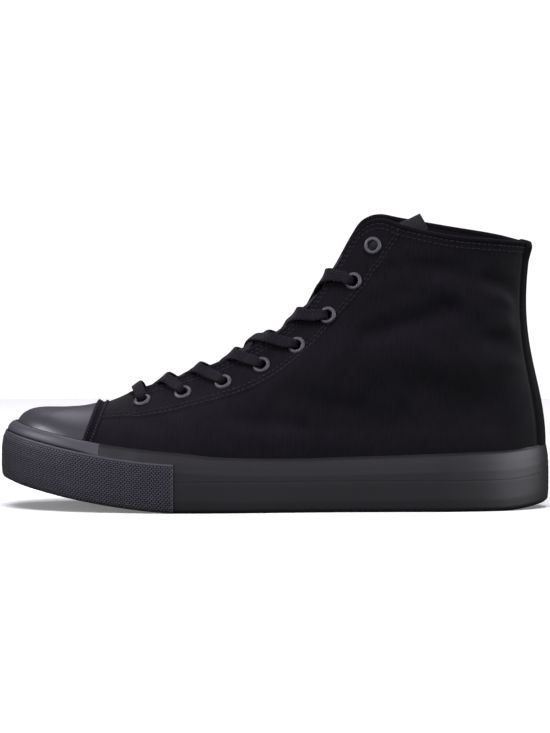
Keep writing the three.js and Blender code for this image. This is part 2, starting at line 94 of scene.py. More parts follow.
# The sole's side from its lower edge to its rim, as in the stations: up is a share of the rim's height.
SOLE_SIDE = """
name        up    tuck lean
edge        0     2.0  0
edge_mid    0.02  0.9  0
edge_round  0.05  0.4  0
low         0.2   0.05 0
belly       0.5   0    0.03
shoulder    0.68  0    0.17
lean_in     0.83  0.1  0.5
rim_round   0.95  0.3  0.87
rim_top     0.985 0.65 0.97
rim         1     1.2  1
"""

# Eyelets of one side: station and inset are their place, and edge is the station where their lace comes over
# the throat's edge.
EYELETS = """
name station inset edge
1     6.10   11.0   6.05
2     7.10   12.6   6.7
3     8.20   13.8   7.5
4     9.30   13.7   8.5
5    10.45   16.2   9.5
6    11.69   20.5  10.5
7    13.01   23.5  11.75
8    14.53   13.7  13
"""


def table(text):
    """The rows under a head line of column names, as one array for each column."""
    head, *rows = [line.split() for line in text.strip().splitlines()]
    return {key: np.array([float(row[i]) for row in rows]) for i, key in enumerate(head) if i}


def ramp(x, low, high):
    """0 below low, 1 above high, and a smooth rise between them."""
    f = np.clip((np.asarray(x, float) - low) / (high - low), 0, 1)
    return f * f * (3 - 2 * f)


def unit(vectors):
    """The same directions, each one long."""
    return vectors / np.linalg.norm(vectors, axis=-1, keepdims=True)


def lengths_along(points):
    """How far along a line of points each of them lies."""
    return np.concatenate([[0], np.cumsum(np.linalg.norm(np.diff(points, axis=0), axis=1))])


def profile_at(profile, place):
    """Both columns of a profile, at a place counted in its rows."""
    return [np.interp(place, np.arange(len(profile)), values) for values in np.array(profile).T]


S = table(STATIONS)
SIDE = table(SOLE_SIDE)
HOLES = table(EYELETS)
EYELET_ROWS = len(HOLES["station"])
SIDES = (1, -1)  # outer and inner
LAST = len(S["footX"]) - 1
VAMP_END = 5  # the station where the throat opens
FOLD_FADE = 1.5  # stations over which the vamp's slope fades before the throat
CROWN_BLEND = (0.72, 0.92)  # shares between which the sections give way to a smooth crown over the toes
CROWN_FADE = 1.0  # stations over which the crown gives way again before the throat
CROWN_MIDDLE, CROWN_SCALE, CROWN_ORDER = 100.0, 30.0, 4
ROUND_FROM = 0.6  # the share from which the throat's round end shapes the section


# ---- The last ----
# u is a place round the shoe: 0 at the toe tip, positive on the outer side, and LAST at the heel either way.


def smooth(values, beyond, k):
    """A smooth curve through values at whole numbers. At both ends it goes on into the values beyond."""
    padded = np.concatenate([[beyond[1]], values, [beyond[-2]]])
    i = np.clip(np.floor(k).astype(int), 0, LAST - 1)
    f = k - i
    a, b, c, d = (padded[i + n] for n in range(4))
    return b + 0.5 * f * (c - a + f * (2 * a - 5 * b + 4 * c - d + f * (3 * (b - c) + d - a)))


def column(key, u):
    """A column of the stations at u, the same on both sides."""
    return smooth(S[key], S[key], np.abs(u))


def sided(name, u):
    """A column with its own values on each side of the shoe."""
    out, inner = S[name + "Out"], S[name + "In"]
    k = np.abs(u)
    return np.where(u >= 0, smooth(out, inner, k), smooth(inner, out, k))


def wrapped(u):
    """u brought back into -LAST to LAST."""
    return (np.asarray(u, float) + LAST) % (2 * LAST) - LAST


def underside(x):
    """The height of the sole's underside."""
    toe = np.clip((x - SPRING_START) / (TOE_X - SPRING_START), 0, 1)
    heel = np.clip((BEVEL_START - x) / (BEVEL_START + TOE_X), 0, 1)
    return TOE_SPRING * toe**1.6 + HEEL_BEVEL * heel**2


def stack3(x, y, z):
    return np.stack(np.broadcast_arrays(x, y, z), -1).astype(float)


def foot_point(u):
    """A point of the upper's lower edge."""
    x = column("footX", u)
    return stack3(x, sided("foot", u), underside(x) + FOOTBED + GAP)


def top_half(k, round_end):
    """Half the width between the top lines: none over the toes, then a throat with a round or pointed end."""
    f = np.clip(k - VAMP_END, 0, 1)
    first, second = S["topY"][VAMP_END + 1], S["topY"][VAMP_END + 2] / 2
    round_half = first * np.sqrt(f * (2 - f))
    pointed_half = first * f**2 * (3 - 2 * f) + second * (f - 1) * f**2
    opening = round_half if round_end else pointed_half
    return np.where(k < VAMP_END + 1, opening, smooth(S["topY"], -S["topY"], k))


def top_point(u):
    """A point of the upper's top line, or of its middle line over the toes."""
    return stack3(column("topX", u), np.sign(u) * top_half(np.abs(u), False), sided("top", u))


def outward(u):
    """Plan direction out of the shoe at its lower edge."""
    a, b = foot_point(wrapped(u - 0.05)), foot_point(wrapped(u + 0.05))
    return unit(stack3(b[..., 1] - a[..., 1], a[..., 0] - b[..., 0], 0))


def vamp_slope(u):
    """The slope of the middle line over the toes."""
    k = np.abs(u)
    a, b = np.maximum(k - 0.05, 0), np.minimum(k + 0.05, VAMP_END)
    b = np.maximum(b, a + 1e-3)
    return (column("topOut", b) - column("topOut", a)) / (column("topX", b) - column("topX", a))


def section(u):
    """The four points that shape the outer face's section at u, from its lower edge to its top line, and how
    far the throat's round end moves its top."""
    foot, top = foot_point(u), top_point(u)
    low = foot + outward(u) * column("flare", u)[..., None]
    low[..., 2] += column("rise", u)
    drop = np.radians(column("drop", u))
    reach = column("reach", u)
    away = unit((foot - top) * [1, 1, 0])
    high = top + away * (reach * np.cos(drop))[..., None]
    high[..., 2] -= reach * np.sin(drop)
    over_toes = ramp(VAMP_END - np.abs(u), 0, FOLD_FADE)
    high[..., 2] += vamp_slope(u) * over_toes * (high[..., 0] - top[..., 0])
    round_end = np.sign(u) * (top_half(np.abs(u), True) - top_half(np.abs(u), False))
    return foot, low, high, top, stack3(0 * u, round_end, 0 * u)


def on_section(points, share):
    """The point at a share of a section, from 0 at its lower edge to 1 at its top line."""
    t = np.asarray(share, float)[..., None]
    a, b, c, d, round_end = points
    f = np.clip((t - ROUND_FROM) / (1 - ROUND_FROM), 0, 1)
    return (1 - t) ** 3 * a + 3 * (1 - t) ** 2 * t * b + 3 * (1 - t) * t**2 * c + t**3 * d + f**3 * round_end


def crown_weight(u, share):
    """How far the crown takes the place of the sections, from 0 to 1."""
    return ramp(share, *CROWN_BLEND) * ramp(VAMP_END - np.abs(u), 0, CROWN_FADE)


def crown_terms(x, y):
    """The terms of a polynomial in x and y."""
    a, b = (np.asarray(x) - CROWN_MIDDLE) / CROWN_SCALE, np.asarray(y) / CROWN_SCALE
    powers = [(i, j) for i in range(CROWN_ORDER + 1) for j in range(CROWN_ORDER + 1 - i)]
    return np.stack([a**i * b**j for i, j in powers], -1)


def crown_fit():
    """The smooth height over the toes that lies nearest to the sections."""
    stations, shares = np.linspace(-4.6, 4.6, 93), np.linspace(0.6, 0.93, 24)
    u, share = np.meshgrid(stations, shares)
    points = on_section(section(u), share).reshape(-1, 3)
    return np.linalg.lstsq(crown_terms(points[:, 0], points[:, 1]), points[:, 2], rcond=None)[0]


CROWN = crown_fit()


def face(u, share, distance=0.0):
    """Points of the upper's outer face moved out by a distance, for arrays of places."""
    u, share, distance = np.broadcast_arrays(np.asarray(u, float), np.asarray(share, float), distance)
    here = section(u)
    point = on_section(here, share)
    weight = crown_weight(u, share)
    if np.any(weight):
        height = crown_terms(point[..., 0], point[..., 1]) @ CROWN
        point[..., 2] += weight * (height - point[..., 2])
    if not np.any(distance):
        return point
    return point + face_normal(u, share) * distance[..., None]


def face_normal(u, share):
    """The direction out of the upper's outer face."""
    u, share = np.broadcast_arrays(np.asarray(u, float), np.asarray(share, float))
    step = 0.02
    along = on_section(section(wrapped(u + step)), share) - on_section(section(wrapped(u - step)), share)
    here = section(u)
    up = on_section(here, np.minimum(share + step, 1)) - on_section(here, np.maximum(share - step, 0))
    normal = np.cross(along, up)
    normal /= np.maximum(np.linalg.norm(normal, axis=-1, keepdims=True), 1e-9)
    weight = np.where((share > 1 - 1e-6) & (np.abs(u) <= VAMP_END), 1.0, crown_weight(u, share))[..., None]
    if np.any(weight):
        point = on_section(here, share)
        x, y = point[..., 0], point[..., 1]
        slope_x = (crown_terms(x + 0.5, y) - crown_terms(x - 0.5, y)) @ CROWN
        slope_y = (crown_terms(x, y + 0.5) - crown_terms(x, y - 0.5)) @ CROWN
        normal = normal * (1 - weight) + unit(stack3(-slope_x, -slope_y, 1)) * weight
    return unit(normal)


# Distances down each section from its top line, so that places can be given by their inset from the edge.
CHART_U = np.linspace(-LAST, LAST, 401)
CHART_SHARE = np.linspace(0, 1, 81)


def section_lengths():
    """The distance from each place of the chart up to the top line."""
    points = face(CHART_U[:, None], CHART_SHARE[None, :])
    steps = np.linalg.norm(np.diff(points, axis=1), axis=-1)
    return np.concatenate([np.cumsum(steps[:, ::-1], 1)[:, ::-1], 0 * CHART_U[:, None]], 1)


CHART_LENGTH = section_lengths()


def share_at(u, inset):
    """The share at which the section lies an inset below its top line."""
    u, inset = np.broadcast_arrays(np.asarray(u, float), np.asarray(inset, float))
    last = len(CHART_U) - 1
    flat = []
    for a, b in zip(u.ravel(), inset.ravel()):
        i = min(int((a + LAST) / (2 * LAST) * last), last - 1)
        f = (a - CHART_U[i]) / (CHART_U[i + 1] - CHART_U[i])
        lengths = CHART_LENGTH[i] * (1 - f) + CHART_LENGTH[i + 1] * f
        flat.append(np.interp(-b, -lengths, CHART_SHARE))
    return np.array(flat).reshape(u.shape)


# ---- Mesh tools ----


def deselect():
    bpy.ops.object.select_all(action="DESELECT")


def only(piece):
    deselect()
    piece.select_set(True)
    bpy.context.view_layer.objects.active = piece
    return piece


def points_of(piece):
    flat = np.empty(len(piece.data.vertices) * 3)
    piece.data.vertices.foreach_get("co", flat)
    return flat.reshape(-1, 3)


def put_points(piece, points):
    piece.data.vertices.foreach_set("co", np.ascontiguousarray(points, float).ravel())
    piece.data.update()


def surface(name, columns, rows, place, uv=None, weld=False):
    """A grid laid on a surface. place takes how far along and how far up, from 0 to 1, and gives
    millimetres. uv takes the same and gives the pattern's place in metres."""
    deselect()
    bpy.ops.mesh.primitive_grid_add(x_subdivisions=columns, y_subdivisions=rows, size=2)
    piece = bpy.context.active_object
    piece.name = piece.data.name = name
    flat = (points_of(piece) + 1) / 2
    s, t = np.round(flat[:, 0] * columns) / columns, np.round(flat[:, 1] * rows) / rows
    put_points(piece, place(s, t) * MM)
    put_pattern(piece, np.stack(uv(s, t) if uv else [s, t], -1))
    if weld:
        edit_all(piece, bpy.ops.mesh.remove_doubles, threshold=0.02 * MM)
    return piece


def corners_of(piece):
    """The point that each corner of each face stands on."""
    corners = np.empty(len(piece.data.loops), int)
    piece.data.loops.foreach_get("vertex_index", corners)
    return corners


def put_pattern(piece, pattern):
    """Stores the pattern's place at each point."""
    piece.data.uv_layers.active.data.foreach_set("uv", pattern[corners_of(piece)].ravel())


def edit_all(piece, operator, **settings):
    """Runs an edit mode operator on the whole mesh."""
    only(piece)
    bpy.ops.object.mode_set(mode="EDIT")
    bpy.ops.mesh.select_all(action="SELECT")
    operator(**settings)
    bpy.ops.object.mode_set(mode="OBJECT")


def apply(piece, kind, **settings):
    """Adds a modifier and applies it."""
    only(piece)
    modifier = piece.modifiers.new(kind.title(), kind)
    for key, value in settings.items():
        setattr(modifier, key, value)
    bpy.ops.object.modifier_apply(modifier=modifier.name)
    return piece


def thicken(piece, thickness, **more):
    """Gives a sheet its thickness in millimetres, inwards."""
    return apply(piece, "SOLIDIFY", thickness=thickness * MM, offset=-1.0, use_rim=True, **more)


def shade(piece, angle=None):
    only(piece)
    if angle is None:
        bpy.ops.object.shade_smooth()
    else:
        bpy.ops.object.shade_smooth_by_angle(angle=math.radians(angle))
    return piece


def mesh_copies(name, source, frames):
    """One mesh of copies of a small part. Each frame is three axes and a place, all in metres."""
    co = points_of(source)
    faces = [tuple(polygon.vertices) for polygon in source.data.polygons]
    frames = np.asarray(frames)
    points = np.einsum("nij,vj->nvi", frames[:, :, :3], co) + frames[:, None, :, 3]
    offsets = np.arange(len(frames)) * len(co)
    corners = [tuple(int(v + first) for v in loop) for first in offsets for loop in faces]
    mesh = bpy.data.meshes.new(name)
    mesh.from_pydata(points.reshape(-1, 3).tolist(), [], corners)
    mesh.update()
    piece = bpy.data.objects.new(name, mesh)
    bpy.context.scene.collection.objects.link(piece)
    remove(source)
    return piece


def remove(piece):
    mesh = piece.data
    bpy.data.objects.remove(piece)
    bpy.data.meshes.remove(mesh)


def finish_piece(piece, slot, *materials, replaces=()):
    """The material, the body it rides on and the CAD nodes it stands for."""
    piece.data.materials.clear()
    for made in materials:
        piece.data.materials.append(made)
    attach(piece, "root")
    if replaces:
        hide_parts(*replaces)
    return piece


def along_path(path, spacing):
    """Places at an even spacing along a polyline of points, with the direction along it at each."""
    total, near = lengths_along(path), 0.3
    count = max(int(total[-1] / spacing), 1)
    where = (np.arange(count) + 0.5) * total[-1] / count
    behind, middle, ahead = (by_rows(where + away, total, path) for away in (-near, 0, near))
    return where / total[-1], middle, unit(ahead - behind)


def by_rows(where, known, rows):
    """Rows of three numbers at places between the known ones."""
    return np.stack([np.interp(where, known, rows[:, i]) for i in range(3)], -1)


# ---- Where things lie on the shoe ----

# Creases of the outer side: kind, depth, half width, then the points of its line in x and z.
CREASES = """
trough 1.5 6   -50,95 -69,101 -87,106 -94,110
trough 1.2 5   -115,124 -127,121 -135,115
ridge  0.9 4   -115,118 -127,113 -135,108
trough 1.0 8   -80,134 -96,133
ridge  0.8 6   -56,137 -72,141 -95,141
ridge  0.8 6   -115,99 -135,98
trough 1.0 5   -118,92 -135,92
ridge  0.7 4   -122,80 -135,80
trough 1.6 12  -80,66 -98,62 -115,60
trough 0.8 6   -6,64 -28,58 -44,56
ridge  0.6 6   -52,120 -66,125
trough 0.7 5   22,50 2,50 -14,46
ridge  1.1 13  -10,78 -50,84 -104,80
trough 1.1 11  10,50 -40,47 -112,50
ridge  0.9 7   -88,121 -112,110 -126,104
"""
CREASE_FADE = (1.9, 0.95)  # stations before the back of the heel between which creases and ripples end
CREASE_DEPTH = 1.9  # how strongly all of them show
INNER_SHIFT = (-4.0, 5.0)  # the inner side creases alike, but not in the same places: shift in x and z

# The seam of the eyelet panel: station and distance below the top line.
EYELET_SEAM = """
name u     inset
1    6.3   25.6
2    7.58  25.6
3    9.0   25.8
4    10.0  25.0
5    10.8  25.2
6    11.82 28.0
7    12.9  33.5
8    13.9  34.0
9    14.9  26.0
10   15.6  12.0
11   16.0  0.0
"""
# In front of the throat the seam is given by its share: two stations, and the share at each.
SEAM_FRONT = ((3.6, 6.5), (0.5, 0.589))
SEAM = table(EYELET_SEAM)
HEEL_HALF = 0.8  # half the heel strip's width, in stations
HEEL_GROOVE = {"depth": 0.7, "gap": 0.04, "width": 0.06}  # beside the heel strip: gap and width in stations
PANEL = {"lift": 0.4, "front": (3.2, 4.2)}  # how far the eyelet panel stands out, and where it ends in front
STITCH_LENGTH, STITCH_GAP = 2.2, 2.9
CAP_TOP_X, CAP_TOP_Z, CAP_SLANT = 94.0, 57.0, 0.38


def line_shape(x, z, points, width):
    """1 on a polyline in x and z, falling softly to 0 away from it."""
    nearest = np.full(x.shape, 1e9)
    for (ax, az), (bx, bz) in zip(points[:-1], points[1:]):
        dx, dz = bx - ax, bz - az
        f = np.clip(((x - ax) * dx + (z - az) * dz) / (dx * dx + dz * dz), 0, 1)
        nearest = np.minimum(nearest, np.hypot(x - ax - f * dx, z - az - f * dz))
    return np.exp(-((nearest / width) ** 2))


def creases(u, points):
    """How far the canvas stands out or in, in millimetres."""
    total = np.zeros(u.shape)
    shift = np.where(u > 0, 0.0, 1.0)
    x = points[..., 0] - INNER_SHIFT[0] * shift
    z = points[..., 2] - INNER_SHIFT[1] * shift
    for line in CREASES.strip().splitlines():
        kind, depth, width, *stops = line.split()
        path = [tuple(float(v) for v in stop.split(",")) for stop in stops]
        height = CREASE_DEPTH * float(depth) * (1 if kind == "ridge" else -1)
        total += height * line_shape(x, z, path, float(width))
    return total


def ripple(u, points):
    """Slow unevenness of the cloth, a few tenths of a millimetre."""
    x, z = points[..., 0], points[..., 2]
    side = np.where(u > 0, 0.0, 1.7)
    return (
        0.22 * np.sin(x / 9.1 + z / 13.3 + side)
        + 0.16 * np.sin(x / 15.7 - z / 7.9 + 2 * side)
        + 0.08 * np.sin(x / 4.3 + z / 5.1 + side)
    )


def seam_inset(u):
    k = np.abs(u)
    seam = np.interp(k, SEAM["u"], SEAM["inset"], right=-5)
    front = inset_at(u, np.interp(k, *SEAM_FRONT))
    return np.where(k < SEAM_FRONT[0][1], front, seam)


def inset_at(u, share):
    """Distance below the top line, in millimetres."""
    i = np.clip((u + LAST) / (2 * LAST) * (len(CHART_U) - 1), 0, len(CHART_U) - 1.001)
    j = np.clip(share * (len(CHART_SHARE) - 1), 0, len(CHART_SHARE) - 1.001)
    a, b = i.astype(int), j.astype(int)
    f, g = i - a, j - b
    low = CHART_LENGTH[a, b] * (1 - g) + CHART_LENGTH[a, b + 1] * g
    high = CHART_LENGTH[a + 1, b] * (1 - g) + CHART_LENGTH[a + 1, b + 1] * g
    return low * (1 - f) + high * f


def cloth_lift(u, share):
    """How far the outer face of the canvas stands from the last, with its panels and creases."""
    base = face(u, share)
    inset = inset_at(u, share)
    k = np.abs(u)
    panel = PANEL["lift"] * ramp(seam_inset(u) - inset, -0.7, 0.7) * ramp(k, *PANEL["front"])
    calm = ramp(inset, 6, 22) * ramp(base[..., 2], 34, 46) * ramp(LAST - k, CREASE_FADE[1], CREASE_FADE[0])
    on_panel = 1 - 0.75 * ramp(seam_inset(u) - inset, -2, 4)
    from_groove = (k - LAST + HEEL_HALF + HEEL_GROOVE["gap"]) / HEEL_GROOVE["width"]
    groove = HEEL_GROOVE["depth"] * np.exp(-(from_groove**2)) * (1 - ramp(share, 0.97, 0.99))
    return panel - groove + (creases(u, base) * on_panel + ripple(u, base)) * calm


def cloth(u, share, distance=0.0):
    """A point of the canvas as it lies, moved out by a distance."""
    u, share = np.broadcast_arrays(np.asarray(u, float), np.asarray(share, float))
    return face(u, share) + face_normal(u, share) * (cloth_lift(u, share) + distance)[..., None]


def round_length():
    """Distance round the shoe at mid height, in metres, for the cloth's pattern."""
    u = np.linspace(-LAST, LAST, 401)
    return u, lengths_along(face(u, 0.35 + 0 * u)) * MM


ROUND_U, ROUND_LENGTH = round_length()


def cloth_uv(u, share):
    return np.interp(u, ROUND_U, ROUND_LENGTH), -inset_at(u, share) * MM


def stitches_along(u, inset, spacing, lift=0.12):
    """Frames of stitches along a line given by stations and insets."""
    u = np.asarray(u, float)
    dense = np.linspace(0, 1, 40 * max(len(u) // 2, 2))
    known = np.linspace(0, 1, len(u))
    line_u, line_inset = np.interp(dense, known, u), np.interp(dense, known, inset)
    share = share_at(line_u, line_inset)
    points, normals = cloth(line_u, share, lift), face_normal(line_u, share)
    where, middle, direction = along_path(points, spacing)
    return stitch_frames(middle, direction, by_rows(where, dense, normals))


def stitch_frames(middle, direction, normal, turn=0.0):
    """Axes and place of each stitch, in metres. turn slants it across its row."""
    normal = unit(normal)
    across = unit(np.cross(normal, direction))
    if turn:
        direction = direction * math.cos(turn) + across * math.sin(turn)
        across = np.cross(normal, direction)
    normal = np.cross(direction, across)
    return np.stack([direction, across, normal, middle * MM], -1)


def one_stitch(length=STITCH_LENGTH, width=1.05, height=0.85):
    """A short loop of thread: fat in its middle, thin where its ends go into the cloth."""
    deselect()
    bpy.ops.mesh.primitive_uv_sphere_add(segments=6, ring_count=4, radius=0.5 * MM)
    stitch = bpy.context.active_object
    co = points_of(stitch)[:, [2, 0, 1]]  # its poles lie along the seam
    along = co[:, 0] / (0.5 * MM)
    bend = -0.18 * along**2 * MM
    put_points(stitch, np.stack([co[:, 0] * length, co[:, 1] * width, co[:, 2] * height + bend], -1))
    return stitch


# ---- The upper ----

HOLE = {"radius": 3.5, "cut": 2.9}  # the punched holes, and the radius inside which points are taken out
# Distances of the two rows of stitches from each edge.
SEWN = {"seam": (1.3, 4.2), "throat": (2.3, 5.0), "collar": (2.4, 5.2)}


def upper_canvas():
    """The canvas from sole to collar, with a wall's thickness and its punched holes."""
    columns, rows = 448, 84

    def place(s, t):
        return cloth(s * 2 * LAST - LAST, t)

    def uv(s, t):
        return cloth_uv(s * 2 * LAST - LAST, t)

    piece = surface("upper_canvas", columns, rows, place, uv, weld=True)
    for row in range(EYELET_ROWS):
        for side in SIDES:
            punch(piece, *eyelet_place(row, side))
    thicken(piece, WALL, material_offset=1, material_offset_rim=0)
    return shade(piece, 50)


def eyelet_place(row, side):
    """The middle of an eyelet on the upper's face, and its axis outwards."""
    u, inset = side * HOLES["station"][row], HOLES["inset"][row]
    share = share_at(u, inset)
    return face(u, share), face_normal(u, share)


def punch(piece, centre, axis):
    """Takes the faces out of a round hole and rounds its edge."""
    co = points_of(piece) / MM - centre
    height = co @ axis
    flat = co - height[:, None] * axis
    far = np.linalg.norm(flat, axis=1)
    mesh = bmesh.new()
    mesh.from_mesh(piece.data)
    mesh.verts.ensure_lookup_table()
    gone = [mesh.verts[i] for i in np.flatnonzero((far < HOLE["cut"]) & (np.abs(height) < 6))]
    faces = {f for v in gone for f in v.link_faces}
    ring = {v for f in faces for v in f.verts} - set(gone)
    bmesh.ops.delete(mesh, geom=gone, context="VERTS")
    for vert in ring:
        if not vert.is_valid:
            continue
        i = np.array(vert.co) / MM - centre
        up = i @ axis
        out = i - up * axis
        stretch = HOLE["radius"] / max(np.linalg.norm(out), 0.1)
        vert.co = Vector((centre + up * axis + out * stretch) * MM)
    mesh.to_mesh(piece.data)
    mesh.free()
    piece.data.update()


# Both sections go over the top line from the outer to the inner side. Each row is a distance out from the
# upper's face and one down from the line. TURNED is the canvas's edge, FOLD the end of the heel strip.
TURNED = [
    (-0.05, 1.9), (0.16, 1.2), (0.3, 0.4), (0.22, -0.25), (-0.2, -0.75), (-1.0, -0.95),
    (-1.8, -0.75), (-2.2, -0.2), (-2.3, 0.5), (-2.1, 1.4), (-1.95, 1.9),
]
FOLD = [
    (0.85, 10.0), (1.5, 4.5), (1.8, 2.2), (1.6, 0.6), (1.1, -0.7), (0.2, -1.5), (-1.0, -1.75), (-2.1, -1.5),
    (-2.8, -0.7), (-3.0, 0.4), (-2.9, 2.0), (-2.7, 6.0),
]


def over_edge(u, out, down):
    """A point out from the upper's face at its top line, and down from the line."""
    top = share_at(u, 0 * u)
    edge = face(u, top)
    into = unit(face(u, share_at(u, 0 * u + WALL)) - edge)
    return edge + into * down[..., None] + face_normal(u, top) * out[..., None]


def collar_edge():
    """The turned edge of the canvas, round the throat and the collar."""
    rows = len(TURNED) - 1
    start = VAMP_END + 0.02
    run = 2 * (LAST - start)

    def place(s, t):
        u = np.where(s < 0.5, start + s * run, -LAST + (s - 0.5) * run)
        out, down = profile_at(TURNED, t * rows)
        return over_edge(u, out + cloth_lift(u, share_at(u, 0 * u + 0.5)), down)

    piece = surface("collar_edge", 330, rows, place, lambda s, t: (s * 0.6, t * 0.008), weld=True)
    thicken(piece, 0.3)
    return shade(piece)


def heel_strip():
    """The strip up the back of the heel, its end folded over the collar."""
    up_rows, foot = 100, 0.02
    rows = up_rows + (len(FOLD) - 1) * 2

    def place(s, t):
        across = (s - 0.5) * 2
        u = wrapped(LAST + across * HEEL_HALF)
        row = np.round(t * rows)
        fold_row = np.clip((row - up_rows) / 2, 0, len(FOLD) - 1)
        out, down = profile_at(FOLD, fold_row)
        inside = np.array(FOLD)[np.round(fold_row).astype(int), 0] < -0.5
        sunk = 0.55 * (1 - ramp(np.abs(across), 1.0, 0.88))  # the sides of the strip lie down on the canvas
        lift = np.where(inside, out, out - sunk)
        share = foot + (share_at(u, 0 * u + FOLD[0][1]) - foot) * np.clip(row / up_rows, 0, 1)
        flat = face(u, share) + face_normal(u, share) * lift[..., None]
        return np.where((row <= up_rows)[..., None], flat, over_edge(u, lift, down))

    piece = surface("heel_strip", 40, rows, place, lambda s, t: ((s - 0.5) * 0.024, t * 0.135))
    thicken(piece, 0.6)
    return shade(piece, 60)


def plane_u(share, side, offset):
    """The station where the section's point at a share lies on the slanted plane of the cap's rear edge."""
    low, high = 2.2 + 0 * share, 4.9 + 0 * share
    for _ in range(30):
        middle = (low + high) / 2
        point = face(side * middle, share)
        ahead = point[..., 0] - (CAP_TOP_X + (CAP_TOP_Z - point[..., 2]) * CAP_SLANT + offset) > 0
        low, high = np.where(ahead, middle, low), np.where(ahead, high, middle)
    return side * (low + high) / 2


def across_toe(s, offset):
    """Places along the plane of the cap's rear edge, with s from the outer to the inner side."""
    side = np.where(s <= 0.5, 1.0, -1.0)
    share = np.where(s <= 0.5, s * 2, 2 - s * 2)
    return plane_u(share, side, offset), share


BAND = [(-3.3, 0.1), (-3.0, 0.75), (-2.0, 0.95), (-0.6, 1.1), (0.2, 2.3), (1.4, 2.75), (2.1, 2.6), (2.3, 1.9)]


def cap_band():
    """The canvas band over the cap's rear edge, whose rows are a distance back and one out."""
    rows = len(BAND) - 1

    def place(s, t):
        offset, up = profile_at(BAND, t * rows)
        u, share = across_toe(0.06 + 0.88 * s, offset)
        return face(u, share, up)

    def uv(s, t):
        return t * 0.0055, s * 0.13

    piece = surface("cap_band", 150, rows, place, uv)
    thicken(piece, 0.5)
    return shade(piece, 60)


def toe_cap():
    """The rubber cap over the toes, a little fuller than the last."""
    columns, rows = 168, 88

    def place(s, t):
        share = 0.12 + 0.88 * t
        side = np.where(s <= 0.5, 1.0, -1.0)
        u = plane_u(share, side, 0.4) * np.abs(1 - 2 * s)
        bulge = 0.5 * np.sin(np.pi * np.clip(share, 0, 1)) * ramp(np.abs(1 - 2 * s), 1.0, 0.8)
        return face(u, share, 1.75 + bulge)

    def reversed_place(s, t):
        return place(1 - s, t)

    def uv(s, t):
        return s * 0.16, t * 0.06

    piece = surface("toe_cap_rubber", columns, rows, reversed_place, uv, weld=True)
    thicken(piece, 1.3)
    return shade(piece, 50)


def upper_stitching(gap):
    """Every row of stitches on the canvas, gap millimetres from one to the next."""
    frames = []
    dense = np.concatenate([np.linspace(3.6, 6.2, 40), np.linspace(6.3, SEAM["u"][-1] - 0.02, 60)])
    for side in SIDES:
        for shift in SEWN["seam"]:
            inset = seam_inset(side * dense) - shift
            keep = inset > 0.8
            frames.append(stitches_along(side * dense[keep], inset[keep], gap))
        throat = np.linspace(5.35, 15.2, 70)
        for inset in SEWN["throat"]:
            frames.append(stitches_along(side * throat, 0 * throat + inset, gap))
        collar = np.linspace(15.2, 19.15, 50)
        for inset in SEWN["collar"]:
            frames.append(stitches_along(side * collar, 0 * collar + inset, gap))
        strip = np.linspace(3.0, 108, 40)
        u = side * (LAST - HEEL_HALF + 0.2) + 0 * strip
        frames.append(stitches_along(u, strip, gap, lift=0.62))
    return mesh_copies("canvas_stitching", one_stitch(), np.concatenate(frames))


def band_stitching():
    """Two rows of slanted stitches on the cap's band."""
    frames = []
    for offset, lift in ((-2.1, 1.05), (1.2, 2.8)):
        s = np.linspace(0.08, 0.92, 220)
        u, share = across_toe(s, offset)
        points, normals = face(u, share, lift), face_normal(u, share)
        where, middle, direction = along_path(points, 2.0)
        normal = by_rows(where, np.linspace(0, 1, 220), normals)
        frames.append(stitch_frames(middle, direction, normal, turn=0.6))
    stitch = one_stitch(length=2.3, width=1.05, height=0.9)
    return mesh_copies("band_stitching", stitch, np.concatenate(frames))


# ---- The sole ----

TREAD = {"depth": 2.5, "groove": 3.0, "pitch": 12.5, "rim": 8.0, "zigzag": 1.6, "wave": 11.0}
LUG_RANGES = ((14.0, 124.0), (-132.0, -56.0))
ARCH = {"depth": 2.5, "front": 4.0, "back": -46.0, "rim": 11.0}
BUMPER = {"from": 0.7, "to": 26.4, "end": 54.5, "lift": 1.0}
STRIP_END = 95.5
BRICKS_ROUND, BRICKS_UP = 126, 22
BRICK_ROWS = (0.0, 0.2, 0.86, 1.0)  # heights in a course: its foot, the brick's two edges, its top
BRICK_COLUMNS = (0.0, 0.14, 0.86)  # places along a brick: the groove, its near edge and its far edge
SPINE = (3.2, 17.9)
INSOLE = {"thickness": 3.5, "inset": 0.8}


def side_curve(key):
    """The sole's side as a smooth curve through its table."""
    up = np.linspace(0, 1, 401)
    values = np.interp(up, SIDE["up"], SIDE[key])
    padded = np.concatenate([np.full(8, values[0]), values, np.full(8, values[-1])])
    for _ in range(2):
        padded = np.convolve(padded, np.full(9, 1 / 9), mode="same")
        padded[:8], padded[-8:] = values[0], values[-1]
    soft = padded[8:-8]
    soft[:14] = values[:14]
    return up, soft


TUCK, LEAN = side_curve("tuck"), side_curve("lean")


def sole_point(u, up, distance=0.0):
    """A point of the sole's side at a share of the rim's height, moved out by a distance."""
    u, up, distance = np.broadcast_arrays(np.asarray(u, float), np.asarray(up, float), distance)
    tuck = np.interp(up, *TUCK) + np.interp(up, *LEAN) * column("lean", u)
    point = foot_point(u) + outward(u) * (column("margin", u) + distance - tuck)[..., None]
    point[..., 2] = underside(point[..., 0]) + up * column("rim", u)
    return point


def share_at_height(u, height):
    """Where the section is that high above the sole's underside."""
    low, high = 0 * u, 0 * u + 0.7
    for _ in range(24):
        middle = (low + high) / 2
        point = face(u, middle)
        under = point[..., 2] - underside(point[..., 0]) < height
        low, high = np.where(under, middle, low), np.where(under, high, middle)
    return (low + high) / 2


def spine_point(u):
    """A point on the sole's middle line, for a place round it."""
    k = np.clip(np.abs(u), *SPINE)
    return stack3(column("footX", k), (sided("foot", k) + sided("foot", -k)) / 2, 0 * k)


